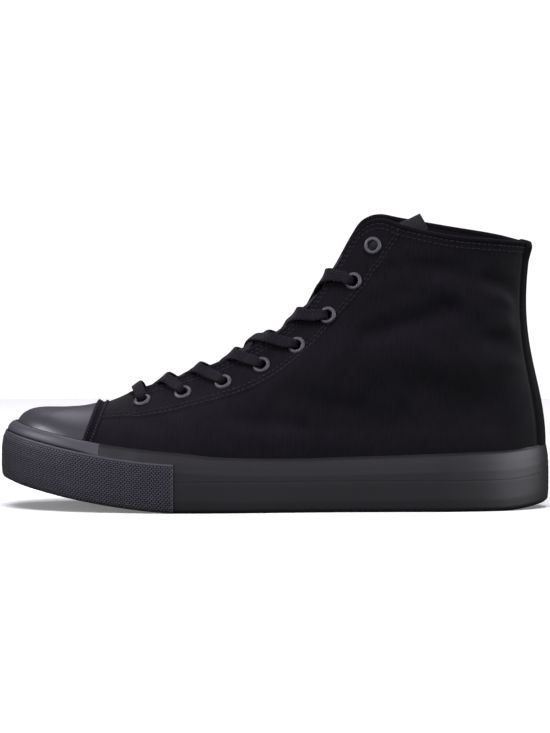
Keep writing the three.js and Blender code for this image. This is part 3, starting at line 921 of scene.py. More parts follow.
def evened(u_low, u_high, count, distance=0.0):
    """Stations for an even spacing round the sole's side, half way up."""
    u = np.linspace(u_low, u_high, 2001)
    points = sole_point(u, 0.5, distance)
    total = lengths_along(points)
    return np.interp(np.linspace(0, total[-1], count + 1), total, u)


def tread_depth(x, y, inset):
    """How deep the underside is cut there."""
    bend = TREAD["zigzag"] * (2 * np.abs((y / TREAD["wave"]) % 2 - 1) - 1)
    depth = np.zeros(x.shape)
    for back, front in LUG_RANGES:
        place = (x + bend - back) % TREAD["pitch"]
        cut = ramp(place, -0.1, 0.5) * (1 - ramp(place, TREAD["groove"], TREAD["groove"] + 0.6))
        depth = np.maximum(depth, cut * ((x > back - 1) & (x < front + 3)))
    depth *= TREAD["depth"] * ramp(inset, TREAD["rim"] - 0.6, TREAD["rim"] + 0.6)
    hollow = ramp(x, ARCH["back"], ARCH["back"] + 1.5) * (1 - ramp(x, ARCH["front"] - 1.5, ARCH["front"]))
    hollow *= ramp(inset, ARCH["rim"] - 0.8, ARCH["rim"] + 0.8) * ARCH["depth"]
    return np.maximum(depth, hollow)


def outsole():
    """The sole's lower part: the tread underneath, its side up to the parting line, and a lid."""
    top, wall, under = 8, 18, 84
    rows, columns = top + wall + under, 620
    stations = evened(-LAST, LAST, columns)

    def place(s, t):
        u = np.interp(s, np.linspace(0, 1, columns + 1), stations)
        row = t * rows
        spine = spine_point(u)
        bottom = sole_point(u, 0.0)
        # underside: from the middle line out to the lower edge
        r = np.clip(row / under, 0, 1)
        low = spine * (1 - r)[..., None] + bottom * r[..., None]
        inset = np.linalg.norm((low - bottom)[..., :2], axis=-1)
        low[..., 2] = underside(low[..., 0]) + tread_depth(low[..., 0], low[..., 1], inset)
        # side: up to the parting line, its edge rounded
        f = np.clip((row - under) / wall, 0, 1)
        edge = 0.02 * ramp(f, 0.97, 1.0)
        side = sole_point(u, f * (PARTING - 0.01) / column("rim", u), -edge)
        # top: back to the middle line
        g = np.clip((row - under - wall) / top, 0, 1)
        above = sole_point(u, PARTING / column("rim", u), -0.6)
        lid = above * (1 - g)[..., None] + spine * g[..., None]
        lid[..., 2] = underside(lid[..., 0]) + PARTING - 0.1
        point = np.where((row <= under)[..., None], low, side)
        return np.where((row > under + wall)[..., None], lid, point)

    piece = surface("outsole_rubber", columns, rows, place, lambda s, t: (s * 0.75, t * 0.12), weld=True)
    return shade(piece, 38)


def midsole():
    """The side of the cup, from the parting line over the rim and down the inside."""
    wall, inner = 40, 10
    columns, rows = 480, 2 + wall + inner + 1
    stations = evened(-LAST, LAST, columns)

    def place(s, t):
        u = np.interp(s, np.linspace(0, 1, columns + 1), stations)
        row = np.round(t * rows)
        rim = column("rim", u)
        start = (PARTING + 0.01) / rim
        floor = sole_point(u, start, -6.5)
        base = sole_point(u, start, -0.12)
        f = np.clip((row - 2) / wall, 0, 1)
        up = start + 0.003 + (1 - start - 0.003) * f
        side = sole_point(u, up, -0.02 * (row == 2))
        # the rim never stands inside the canvas
        share = share_at_height(u, up * rim)
        canvas = face(u, share, 0.55)
        out = outward(u)
        inside = np.sum((side - canvas) * out, -1) < 0
        side = np.where(inside[..., None], canvas, side)
        g = np.clip((row - 2 - wall) / inner, 0, 1)
        depth = rim - 0.25 - g * (rim - FOOTBED - 0.6)
        lining = face(u, share_at_height(u, depth), 0.12)
        point = np.where((row <= 1)[..., None], base, side)
        point = np.where((row > 2 + wall)[..., None], lining, point)
        first = (row == 0) | (row == rows)
        return np.where(first[..., None], floor, point)

    piece = surface("midsole_rubber", columns, rows, place, lambda s, t: (s * 0.75, t * 0.05), weld=True)
    return shade(piece, 38)


def end_station(x, side):
    """The station where the sole's side, half way up, is at x."""
    u = np.linspace(0.5, 12, 800) * side
    points = sole_point(u, 0.5, 1.0)
    return float(np.interp(-x, -points[:, 0], u))


def plate(name, columns, rows, height, lift, end, length, along=None):
    """A sheet over the sole's side round the toe, as far back as end on both sides."""
    stations = evened(end_station(end, -1), end_station(end, 1), columns, distance=1.0)

    def place(s, t):
        u = np.interp(along(s, t) if along else s, np.linspace(0, 1, columns + 1), stations)
        return sole_point(u, height(u, s, t) / column("rim", u), lift(u, s, t))

    return surface(name, columns, rows, place, lambda s, t: (s * length, t * length * 0.1))


def keep_relief_shade(piece, relief_shade):
    """Stores how high each point stands, from 0 to 1, for the material, which paints shade into the low
    places.
    """
    corners = corners_of(piece)
    flat = np.empty(len(corners) * 2)
    piece.data.uv_layers.active.data.foreach_get("uv", flat)
    flat = flat.reshape(-1, 2)
    place = np.zeros((len(piece.data.vertices), 2))
    place[corners] = flat / flat.max(0)
    stored = piece.data.attributes.new("relief_shade", "FLOAT", "POINT")
    stored.data.foreach_set("value", relief_shade(place[:, 0], place[:, 1]).astype(np.float32))


def toe_bumper():
    """Rows of small raised bricks between a plain lip and a plain foot."""
    per_brick, per_course = len(BRICK_COLUMNS), len(BRICK_ROWS)
    columns, brick_rows = BRICKS_ROUND * per_brick, BRICKS_UP * per_course
    foot_rows, lip_rows = 2, 5
    rows = foot_rows + brick_rows + lip_rows
    foot, lip = 0.02, 0.055
    courses = (np.repeat(np.arange(BRICKS_UP), per_course) + np.tile(BRICK_ROWS, BRICKS_UP)) / BRICKS_UP
    known = np.concatenate([
        np.linspace(0, foot, foot_rows + 1)[:-1],
        foot + (1 - lip - foot) * courses,
        np.linspace(1 - lip, 1, lip_rows + 1),
    ])

    def height(u, s, t):
        return BUMPER["from"] + (BUMPER["to"] - BUMPER["from"]) * known[np.round(t * rows).astype(int)]

    def along(s, t):
        """Every other course is moved along by half a brick."""
        row, col = np.round(t * rows).astype(int) - foot_rows, np.round(s * columns).astype(int)
        odd = (row // per_course) % 2 * (row >= 0) * (row < brick_rows)
        inner = (col > 0) & (col < columns)
        moved = col // per_brick + np.array(BRICK_COLUMNS)[col % per_brick] + 0.5 * odd
        return np.where(inner, np.clip(moved / BRICKS_ROUND, 0.0005, 0.9995), s)

    def lift(u, s, t):
        row, col = np.round(t * rows).astype(int) - foot_rows, np.round(s * columns).astype(int)
        raised = (row % per_course % (per_course - 1) != 0) & (col % per_brick != 0)
        plain = (row < 0) | (row >= brick_rows) | (col <= 1) | (col >= columns - 2)
        height_here = np.where(plain, 0.85, 0.2 + 0.75 * raised)
        g = np.clip((row - brick_rows) / lip_rows, 0, 1)
        height_here = np.where(row >= brick_rows, 0.85 + 0.2 * np.sin(np.pi * g), height_here)
        height_here = np.where((col == 0) | (col == columns), 0.2, height_here)
        return height_here + BUMPER["lift"] - 0.35

    piece = plate("toe_bumper_bricks", columns, rows, height, lift, BUMPER["end"], 0.29, along)
    # The gaps between the bricks are stored low, so the material paints shade into them.
    keep_relief_shade(piece, lambda s, t: ramp(lift(None, s, t), 0.8, 1.4))
    thicken(piece, 0.5)
    return shade(piece, 55)


def toe_strip():
    """The round strip over the bumper, fading at both ends."""
    columns, rows = 220, 16

    def height(u, s, t):
        low, high = BUMPER["to"] + 0.1, column("rim", u) - 0.3
        return low + (high - low) * (0.5 - 0.5 * np.cos(np.pi * t))

    def lift(u, s, t):
        round_over = np.sqrt(np.clip(1 - (2 * (0.5 - 0.5 * np.cos(np.pi * t)) - 1) ** 2, 0, 1))
        ends = ramp(np.minimum(s, 1 - s), 0.0, 0.11)
        return 0.3 + 1.3 * round_over * ends

    piece = plate("toe_strip_rubber", columns, rows, height, lift, STRIP_END, 0.2)
    thicken(piece, 0.8)
    return shade(piece, 60)


def insole():
    """A padded sole inside the shoe: flat in the middle, turned up a little along its edge."""
    columns, across, wall = 300, 30, 4
    rows = 2 * across + wall

    def place(s, t):
        u = s * 2 * LAST - LAST
        row = t * rows
        spine = spine_point(u)
        edge = foot_point(u) - outward(u) * (WALL + INSOLE["inset"])
        r = np.where(row <= across, row / across, np.clip((rows - row) / across, 0, 1))
        r = np.clip(r, 0, 1)
        flat = spine * (1 - r)[..., None] + edge * r[..., None]
        inset = np.linalg.norm((flat - edge)[..., :2], axis=-1)
        top = INSOLE["thickness"] - 0.25 + 0.9 * (1 - ramp(inset, 0, 9)) - 0.9 * (1 - ramp(inset, 0, 1.3))
        low = underside(flat[..., 0]) + FOOTBED + 0.2
        side = np.clip((row - across) / wall, 0, 1)
        flat[..., 2] = low + top * side
        return flat

    piece = surface("insole_cloth", columns, rows, place, None, weld=True)
    put_pattern(piece, points_of(piece)[:, :2])
    return shade(piece, 50)


# ---- Eyelets, tongue and lace ----

RING = [
    (2.8, -2.3), (2.8, 0.9), (2.9, 1.3), (3.15, 1.6), (3.55, 1.75), (4.0, 1.68), (4.45, 1.4), (4.75, 1.05),
    (4.85, 0.75), (4.75, 0.6), (4.2, 0.55), (3.3, 0.5), (3.25, -2.2), (4.2, -2.35), (4.3, -2.6), (4.1, -2.8),
    (3.5, -2.95), (2.95, -2.8),
]
LACE = {"width": 6.3, "thickness": 1.5, "stand": 3.1, "under": -2.75}
LACED = 7
TONGUE_STATIONS = [4.3, 5, 5.7, 6.5, 7.2, 7.8, 8.4, 9.0, 9.6, 10.2, 10.9, 11.6, 12.5]
TONGUE_SHARES = (0.78, 0.86, 0.94)
TONGUE_UNDER, TONGUE_THICKNESS = 2.9, 2.4
LABEL_RIBS = 12
LABEL_PLACE = (0.875, 0.955)  # from where to where along the tongue
TONGUE_BULGE = (
    (5.0, 6.0, 7.7, 8.4, 8.9, 9.5, 10.2, 10.9, 11.5, 12.5),
    (0.0, 1.0, 1.2, 3.0, 5.0, 3.0, 1.2, 2.0, 1.0, 0.6),
)
# How high the lace lies in the throat's middle at each crossing.
CROSSING_RISE = (0.0, 0.1, 0.0, 4.2, 0.2, 0.9)
# The tongue's tip behind the throat: x and z of its middle, half its width and how far its sides fall.
TONGUE_TIP = [(-55.0, 148.0, 23.0, 14.0), (-68.0, 155.6, 24.0, 12.0), (-79.0, 161.2, 21.0, 9.0)]


def loft(rows, s, t):
    """A smooth surface through rows of points: s runs along a row and t from row to row."""
    rows = np.asarray(rows)
    padded = np.pad(rows, ((1, 1), (1, 1), (0, 0)), mode="reflect", reflect_type="odd")
    n, m = rows.shape[:2]

    def weights(f):
        return [
            0.5 * (-f + 2 * f**2 - f**3), 0.5 * (2 - 5 * f**2 + 3 * f**3),
            0.5 * (f + 4 * f**2 - 3 * f**3), 0.5 * (-(f**2) + f**3),
        ]

    x, y = s * (m - 1), t * (n - 1)
    i, j = np.clip(np.floor(x).astype(int), 0, m - 2), np.clip(np.floor(y).astype(int), 0, n - 2)
    wx, wy = weights(x - i), weights(y - j)
    total = np.zeros(s.shape + (3,))
    for b in range(4):
        for a in range(4):
            total += padded[j + b, i + a] * (wx[a] * wy[b])[..., None]
    return total


def tongue_rows():
    """The tongue's outer face from its foot, deep under the vamp, to its tip."""
    rows = []
    below = -TONGUE_UNDER
    for k in TONGUE_STATIONS:
        sides = [[face(side * k, share, below) for share in TONGUE_SHARES] for side in SIDES]
        a, b = face(float(k), 1.0, below), face(-float(k), 1.0, below)
        bulge = np.interp(k, *TONGUE_BULGE)
        middle = []
        for f in (0.25, 0.5, 0.75):
            lift = 4 * f * (1 - f) * bulge
            middle.append(a * (1 - f) + b * f + np.array([0.6 * lift, 0, 0.8 * lift]))
        rows.append([*sides[0], *middle, *reversed(sides[1])])
    back = np.array([-0.45, 0, -0.9])
    for x, z, half, fall in TONGUE_TIP:
        rows.append([
            np.array([x, v * half, z]) + back * (fall * v * v) for v in np.linspace(1, -1, 9)
        ])
    return rows


def tongue_point(s, t, distance=0.0):
    """A point of the tongue's outer face, moved out by a distance."""
    rows = tongue_rows()
    point = loft(rows, s, t)
    if np.any(distance):
        e = 1e-3
        along = loft(rows, np.minimum(s + e, 1), t) - loft(rows, np.maximum(s - e, 0), t)
        up = loft(rows, s, np.minimum(t + e, 1)) - loft(rows, s, np.maximum(t - e, 0))
        point = point - unit(np.cross(up, along)) * np.asarray(distance)[..., None]
    return point


def tongue(thickness):
    """The padded tongue from under the vamp to its tip."""

    def place(s, t):
        # a soft roll between the laces and a turned hem along the top
        middle = np.sin(np.pi * s) ** 2
        roll = 0.5 * middle * np.sin(t * 11.5 * np.pi * 2) * ramp(t, 0.12, 0.2) * (1 - ramp(t, 0.7, 0.8))
        hem = 0.35 * ramp(t, 0.955, 0.965)
        return tongue_point(s, t, roll + hem)

    def uv(s, t):
        return s * 0.09, t * 0.2

    piece = surface("tongue_canvas", 96, 200, place, uv)
    turn_out(piece)
    thicken(piece, thickness)
    apply(piece, "BEVEL", width=0.9 * MM, segments=3, limit_method="ANGLE", angle_limit=math.radians(60))
    return shade(piece, 60)


def turn_out(piece):
    """Turns the sheet's faces so that they look forward and up."""
    total = Vector((0, 0, 0))
    for polygon in piece.data.polygons:
        total += polygon.normal * polygon.area
    if total.x + total.z < 0:
        piece.data.flip_normals()


def tongue_label():
    """A plain woven patch near the tongue's tip."""

    def place(s, t):
        edge = np.minimum(np.minimum(s, 1 - s) * 20, np.minimum(t, 1 - t) * 8)
        ribs = 0.6 * np.abs(np.sin(np.pi * LABEL_RIBS * s)) * ramp(edge, 0.4, 0.9)
        along = LABEL_PLACE[0] * (1 - t) + LABEL_PLACE[1] * t
        return tongue_point(0.15 + 0.7 * s, along, 0.25 + 0.3 * ramp(edge, 0, 0.5) + ribs)

    piece = surface("tongue_label", LABEL_RIBS * 8, 24, place, lambda s, t: (s * 0.03, t * 0.014))
    turn_out(piece)
    thicken(piece, 0.5)
    return shade(piece, 60)


def eyelet(row, side):
    """One ring turned about its axis."""
    centre, axis = eyelet_place(row, side)
    along = unit(np.cross([0, 0, 1.0], axis))
    up = np.cross(axis, along)
    rows = len(RING)

    def place(s, t):
        radius, height = profile_at([*RING, RING[0]], t * rows)
        angle = 2 * np.pi * s
        flat = along * np.cos(angle)[..., None] + up * np.sin(angle)[..., None]
        return centre + flat * radius[..., None] + axis * height[..., None]

    name = f"eyelet_ring_{'lateral' if side > 0 else 'medial'}_{row + 1}"
    piece = surface(name, 48, rows, place, None, weld=True)
    face_out(piece)
    return shade(piece, 45)


def face_out(piece):
    edit_all(piece, bpy.ops.mesh.normals_make_consistent, inside=False)


def over_upper(row, side, f, lift):
    """A point over the canvas between an eyelet, where f is 0, and the throat's edge, where it is 1."""
    u = side * (HOLES["station"][row] * (1 - f) + HOLES["edge"][row] * f)
    share = share_at(u, HOLES["inset"][row] * (1 - f))
    return face(u, share, LACE["stand"] + lift), face_normal(u, share)


def over_throat(station, side, f, lift):
    """A point across the throat from one side's edge, where f is 0, to the other's."""
    a, b = face(side * station, 1.0), face(-side * station, 1.0)
    normal = np.array([0.6, 0, 0.8])
    return a * (1 - f) + b * f + normal * lift, normal


def away_from_throat(row, side):
    """The direction from the throat's edge to an eyelet, flat on the canvas."""
    centre, axis = eyelet_place(row, side)
    away = centre - face(side * HOLES["edge"][row], 1.0)
    return unit(away - axis * (away @ axis))


def hole_stops(centre, axis, away, thickness):
    """Over the eyelet's rim and down its hole, on the side nearer the throat."""
    return [
        (centre + axis * 2.75 - away * 2.4, axis * 0.85 + away * 0.5, 5.6, thickness),
        (centre + axis * 1.7 - away * 1.25, axis * 0.35 + away, 4.3, 1.5),
        (centre - axis * 0.1 - away * 1.1, away, 4.1, 1.6),
        (centre - axis * 1.7 - away * 1.1, away, 4.1, 1.4),
    ]


def crossing_stops(row, side, over, sign):
    """From the eyelet of a row on one side, in under its edge and across to the next row's eyelet."""
    after = row + 1
    edge, next_edge = HOLES["edge"][row], HOLES["edge"][after]
    centre, axis = eyelet_place(row, side)
    away = away_from_throat(row, side)
    lift = 0.55 if over else -0.8
    w, t = LACE["width"], LACE["thickness"]
    stops = [
        *hole_stops(centre, axis, away, t),
        (centre + axis * LACE["under"] - away * 2.2, -axis + away * 0.2, 4.8, 0.9),
    ]
    u = side * (HOLES["station"][row] * 0.45 + edge * 0.55)
    share = share_at(u, HOLES["inset"][row] * 0.45)
    stops.append((face(u, share, LACE["under"]), -face_normal(u, share), 5.6, 0.7))
    edge_at = side * (edge * 0.85 + next_edge * 0.15)
    stops.append((face(edge_at, 0.995, LACE["under"] + 0.3), -face_normal(edge_at, 0.99), 6.2, 0.8))
    rise = CROSSING_RISE[row] + lift
    places = ((0.35, 0.22, 0.4 * rise - 0.6), (0.6, 0.5, rise), (0.8, 0.8, 0.5 * rise + 1.5))
    for share_across, f, up in places:
        point, normal = over_throat(edge * (1 - share_across) + next_edge * share_across, side, f, up)
        stops.append((point, -normal, w, t))
    for f, up in ((0.97, 0.5), (0.6, 0.0), (0.36, -0.1)):
        point, normal = over_upper(after, -side, f, up)
        stops.append((point, -normal, w, t))
    return [(point, sign * np.asarray(normal), width, thick) for point, normal, width, thick in stops]


def bar_stops():
    """The straight run between the two lowest eyelets."""
    stops = []
    for side in SIDES:
        half = []
        for f, up in ((0.36, -0.1), (0.85, 0.2)):
            point, normal = over_upper(0, side, f, up)
            half.append((point, normal, LACE["width"], LACE["thickness"]))
        if side < 0:
            half.reverse()
        stops.append(half)
    point, normal = over_throat(HOLES["edge"][0], 1, 0.5, 3.6)
    return stops[0] + [(point, normal, LACE["width"], LACE["thickness"])] + stops[1]


def end_stops(row, side, sign):
    """From the last eyelet in, with a short end laid forward under the canvas."""
    centre, axis = eyelet_place(row, side)
    away = away_from_throat(row, side)
    stops = [
        *hole_stops(centre, axis, away, 1.3),
        (centre + axis * LACE["under"] - away * 1.9, -axis + away * 0.2, 4.6, 0.9),
        (centre + axis * (LACE["under"] + 0.05) - away * 5.0, -axis, 5.2, 0.7),
        (centre + axis * (LACE["under"] + 0.1) - away * 8.0, -axis, 5.2, 0.7),
    ]
    return [(point, sign * np.asarray(normal), width, thick) for point, normal, width, thick in stops]


def strand_stops(side):
    """All the stops of one half of the lace, from its first eyelet to its end."""
    stops, sign = [], 1
    for row in range(LACED - 1):
        stops += crossing_stops(row, side, over=(side > 0) == (row % 2 == 0), sign=sign)
        side, sign = -side, -sign
    return stops + end_stops(LACED - 1, side, sign)


def lace():
    """One flat woven lace: a bar at the lowest eyelets, then crossings up to the seventh on each side."""
    half = strand_stops(1)
    other = strand_stops(-1)
    bar = bar_stops()
    stops = list(reversed(half)) + bar + other
    points = np.array([s[0] for s in stops])
    normals = unit(np.array([s[1] for s in stops]))
    # the two ends' faces turn over at each eyelet, so neighbours are kept on one side
    for i in range(1, len(normals)):
        if normals[i] @ normals[i - 1] < -0.5:
            normals[i:] *= -1
    widths, thick = np.array([s[2] for s in stops]), np.array([s[3] for s in stops])
    gaps = np.sqrt(np.linalg.norm(np.diff(points, axis=0), axis=1))
    knots = np.concatenate([[0], np.cumsum(np.maximum(gaps, 0.4))])
    dense = np.linspace(0, knots[-1], 6000)
    line = spline(knots, points, dense)
    total = lengths_along(line)
    count = int(total[-1] / 0.75)
    where = np.interp(np.linspace(0, total[-1], count + 1), total, dense)
    line = spline(knots, points, where)
    face_to = by_rows(where, knots, normals)
    width, depth = np.interp(where, knots, widths), np.interp(where, knots, thick)
    tangent = unit(np.gradient(line, axis=0))
    across = unit(np.cross(tangent, face_to))
    normal = np.cross(across, tangent)
    half = [
        (0.5, 0.0), (0.49, 0.28), (0.455, 0.46), (0.3, 0.5), (0.1, 0.5),
        (-0.1, 0.5), (-0.3, 0.5), (-0.455, 0.46), (-0.49, 0.28),
    ]
    outline = half + [(-x, -y) for x, y in half] + half[:1]
    ox, oy = np.array(outline).T
    rows = len(outline) - 1
    length = total[-1]

    def place(s, t):
        i = np.round(s * count).astype(int)
        j = np.round(t * rows).astype(int)
        ends = np.clip(np.minimum(i, count - i) / 2.0, 0.05, 1)
        bow = 0.12 * (1 - (2 * ox[j]) ** 2)  # the lace bows a little across its width
        lift = oy[j] * depth[i] * ends + bow
        return line[i] + across[i] * (ox[j] * width[i] * ends)[:, None] + normal[i] * lift[:, None]

    def uv(s, t):
        return s * length * MM, np.interp(t * rows, np.arange(rows + 1), np.abs(ox) * 0.0068)

    piece = surface("lace_flat", count, rows, place, uv, weld=True)
    face_out(piece)
    shade(piece, 60)
    return piece, length


def spline(knots, points, where):
    """A smooth line through points at uneven knots, whose slopes are those of the neighbours' chords."""
    slopes = np.zeros_like(points)
    steps = np.diff(knots)[:, None]
    chords = np.diff(points, axis=0) / steps
    slopes[1:-1] = (chords[:-1] * steps[1:] + chords[1:] * steps[:-1]) / (steps[1:] + steps[:-1])
    slopes[0], slopes[-1] = chords[0], chords[-1]
    i = np.clip(np.searchsorted(knots, where, side="right") - 1, 0, len(knots) - 2)
    h = (knots[i + 1] - knots[i])[:, None]
    f = ((where - knots[i])[:, None]) / h
    return (
        (1 + 2 * f) * (1 - f) ** 2 * points[i] + f * (1 - f) ** 2 * h * slopes[i]
        + f**2 * (3 - 2 * f) * points[i + 1] + f**2 * (f - 1) * h * slopes[i + 1]
    )


# ---- Looks ----


class Look:
    """A material being made: its nodes and its shader."""

    def __init__(self, name, roughness, specular, **sockets):
        self.material = bpy.data.materials.new(name)
        self.material.use_nodes = True
        self.tree = self.material.node_tree
        self.shader = self.tree.nodes["Principled BSDF"]
        self.shader.inputs["Roughness"].default_value = roughness
        self.shader.inputs["Specular IOR Level"].default_value = specular
        for key, value in sockets.items():
            self.shader.inputs[key.replace("_", " ").title()].default_value = value

    def node(self, kind, settings=None, **inputs):
        return add_node(self.tree, kind, settings, **inputs)

    def link(self, source, target):
        self.tree.links.new(source, target)

    def colour(self, factor, dark, light):
        """The base colour, between two colours by a factor."""
        mix = self.node("ShaderNodeMix", {"data_type": "RGBA"})
        for socket in mix.inputs:
            if socket.type == "RGBA":
                socket.default_value = (*(dark if socket.name == "A" else light), 1)
        self.link(factor, mix.inputs["Factor"])
        out = next(s for s in mix.outputs if s.type == "RGBA")
        self.link(out, self.shader.inputs["Base Color"])
        return out

    def bump(self, height, distance, strength=1.0):
        bump = self.node("ShaderNodeBump")
        bump.inputs["Strength"].default_value = strength
        bump.inputs["Distance"].default_value = distance
        self.link(height, bump.inputs["Height"])
        self.link(bump.outputs["Normal"], self.shader.inputs["Normal"])


def add_node(tree, kind, settings=None, **inputs):
    node = tree.nodes.new(kind)
    for key, value in (settings or {}).items():
        setattr(node, key, value)
    for key, value in inputs.items():
        node.inputs[key.replace("_", " ").title()].default_value = value
    return node


def maths(tree, operation, a, b=0.0):
    """A Math node of two values or sockets."""
    node = tree.nodes.new("ShaderNodeMath")
    node.operation = operation
    for socket, value in zip(node.inputs, (a, b)):
        if isinstance(value, (int, float)):
            socket.default_value = value
        else:
            tree.links.new(value, socket)
    return node.outputs[0]


def new_group(name, values):
    """A node group that takes a place and some values, and gives a height and a shade."""
    group = bpy.data.node_groups.new(name, "ShaderNodeTree")
    group.interface.new_socket("Place", in_out="INPUT", socket_type="NodeSocketVector")
    for label, default in values.items():
        socket = group.interface.new_socket(label, in_out="INPUT", socket_type="NodeSocketFloat")
        socket.default_value = default
    for label in ("Height", "Shade"):
        group.interface.new_socket(label, in_out="OUTPUT", socket_type="NodeSocketFloat")
    return group, group.nodes.new("NodeGroupInput"), group.nodes.new("NodeGroupOutput")


def weave_group():
    """Woven cloth: ribs along V, crossed by picks, with uneven yarns. It gives height and shade."""
    made = bpy.data.node_groups.get("woven ribs")
    if made:
        return made
    group, start, end = new_group(
        "woven ribs",
        {"Rib": 1000.0, "Pick": 900.0, "Pick Share": 0.35, "Patches": 60.0},
    )
    links = group.links
    split = group.nodes.new("ShaderNodeSeparateXYZ")
    links.new(start.outputs["Place"], split.inputs[0])
    across = maths(group, "MULTIPLY", split.outputs[0], start.outputs["Rib"])
    along = maths(group, "MULTIPLY", split.outputs[1], start.outputs["Pick"])
    rib = maths(group, "ABSOLUTE", maths(group, "SINE", maths(group, "MULTIPLY", across, math.pi)))
    turn = maths(group, "MULTIPLY", maths(group, "FLOOR", across), math.pi)
    pick = maths(group, "SINE", maths(group, "ADD", maths(group, "MULTIPLY", along, 2 * math.pi), turn))
    pick_share = start.outputs["Pick Share"]
    pick = maths(group, "MULTIPLY", maths(group, "ADD", maths(group, "MULTIPLY", pick, 0.5), 0.5), pick_share)
    picked = maths(group, "ADD", pick, maths(group, "SUBTRACT", 1.0, pick_share))
    height = maths(group, "MULTIPLY", rib, picked)
    links.new(height, end.inputs["Height"])
    patches = group.nodes.new("ShaderNodeTexNoise")
    patches.inputs["Detail"].default_value = 3.0
    links.new(start.outputs["Place"], patches.inputs["Vector"])
    links.new(start.outputs["Patches"], patches.inputs["Scale"])
    yarns = group.nodes.new("ShaderNodeTexNoise")
    yarns.inputs["Detail"].default_value = 2.0
    yarns.inputs["Scale"].default_value = 1.0
    stretch = group.nodes.new("ShaderNodeVectorMath")
    stretch.operation = "MULTIPLY"
    stretch.inputs[1].default_value = (900.0, 110.0, 1.0)
    links.new(start.outputs["Place"], stretch.inputs[0])
    links.new(stretch.outputs[0], yarns.inputs["Vector"])
    mixed = maths(group, "ADD", maths(group, "MULTIPLY", patches.outputs[0], 0.45),
                  maths(group, "MULTIPLY", yarns.outputs[0], 0.45))
    # Raised yarns are painted lighter and the low places between them darker: painted light and shade at the
    # weave's scale.
    raised = maths(group, "MULTIPLY", maths(group, "SUBTRACT", height, 0.5), 0.4)
    links.new(maths(group, "ADD", mixed, raised), end.inputs["Shade"])
    return group


def rubber_group():
    """Moulded rubber: a fine grain and slow clouds."""
    made = bpy.data.node_groups.get("moulded grain")
    if made:
        return made
    group, start, end = new_group(
        "moulded grain",
        {"Grain": 1800.0, "Clouds": 22.0},
    )
    grain, clouds = group.nodes.new("ShaderNodeTexNoise"), group.nodes.new("ShaderNodeTexNoise")
    grain.inputs["Detail"].default_value, clouds.inputs["Detail"].default_value = 2.0, 4.0
    for node, scale in ((grain, "Grain"), (clouds, "Clouds")):
        group.links.new(start.outputs["Place"], node.inputs["Vector"])
        group.links.new(start.outputs[scale], node.inputs["Scale"])
    group.links.new(grain.outputs[0], end.inputs["Height"])
    total = maths(group, "ADD", maths(group, "MULTIPLY", grain.outputs[0], 0.35),
                  maths(group, "MULTIPLY", clouds.outputs[0], 0.65))
    group.links.new(total, end.inputs["Shade"])
    return group


def use_group(look, group, **values):
    node = look.node("ShaderNodeGroup", {"node_tree": group})
    for key, value in values.items():
        node.inputs[key.replace("_", " ").title()].default_value = value
    return node


def scaled(colour, by):
    return tuple(c * by for c in colour)


def cloth_look(name, colour, rib=1000.0, pick=900.0, share=0.35, depth=0.00025, spread=0.45, sheen=0.12,
               roughness=0.92, specular=0.12):
    """Woven cloth that follows the piece's own pattern map."""
    look = Look(name, roughness, specular, sheen_weight=sheen, sheen_roughness=0.45)
    place = look.node("ShaderNodeUVMap", {"uv_map": "UVMap"})
    weave = use_group(look, weave_group(), rib=rib, pick=pick, pick_share=share)
    look.link(place.outputs[0], weave.inputs["Place"])
    look.colour(weave.outputs["Shade"], scaled(colour, 1 - spread), scaled(colour, 1 + spread))
    look.bump(weave.outputs["Height"], depth, 0.6)
    return look.material


ROUGH_SPREAD = 0.07  # how far the grain takes the roughness up and down


def rubber_look(name, colour, roughness, specular=0.5, grain=1800.0, depth=0.00004, spread=0.25, relief_shade=False,
                **more):
    """Moulded rubber or paint on Object coordinates. Optionally, low places get a darker colour from the
    stored height: painted shade in the grooves.
    """
    look = Look(name, roughness, specular, **more)
    place = look.node("ShaderNodeTexCoord")
    grains = use_group(look, rubber_group(), grain=grain)
    look.link(place.outputs["Object"], grains.inputs["Place"])
    shade_value = grains.outputs["Shade"]
    if relief_shade:
        # Painted shade: the colour darkens where the stored height is low.
        height = look.node("ShaderNodeAttribute", {"attribute_name": "relief_shade"})
        lifted = maths(look.tree, "ADD", shade_value, 0.5)
        shade_value = maths(look.tree, "MULTIPLY", lifted, height.outputs["Fac"])
    look.colour(shade_value, scaled(colour, 1 - spread), scaled(colour, 1 + spread))
    look.bump(grains.outputs["Height"], depth)
    rough = look.node("ShaderNodeMapRange")
    rough.inputs["To Min"].default_value = roughness - ROUGH_SPREAD
    rough.inputs["To Max"].default_value = roughness + ROUGH_SPREAD
    look.link(grains.outputs["Shade"], rough.inputs["Value"])
    look.link(rough.outputs[0], look.shader.inputs["Roughness"])
    return look.material


LOOKS = {}


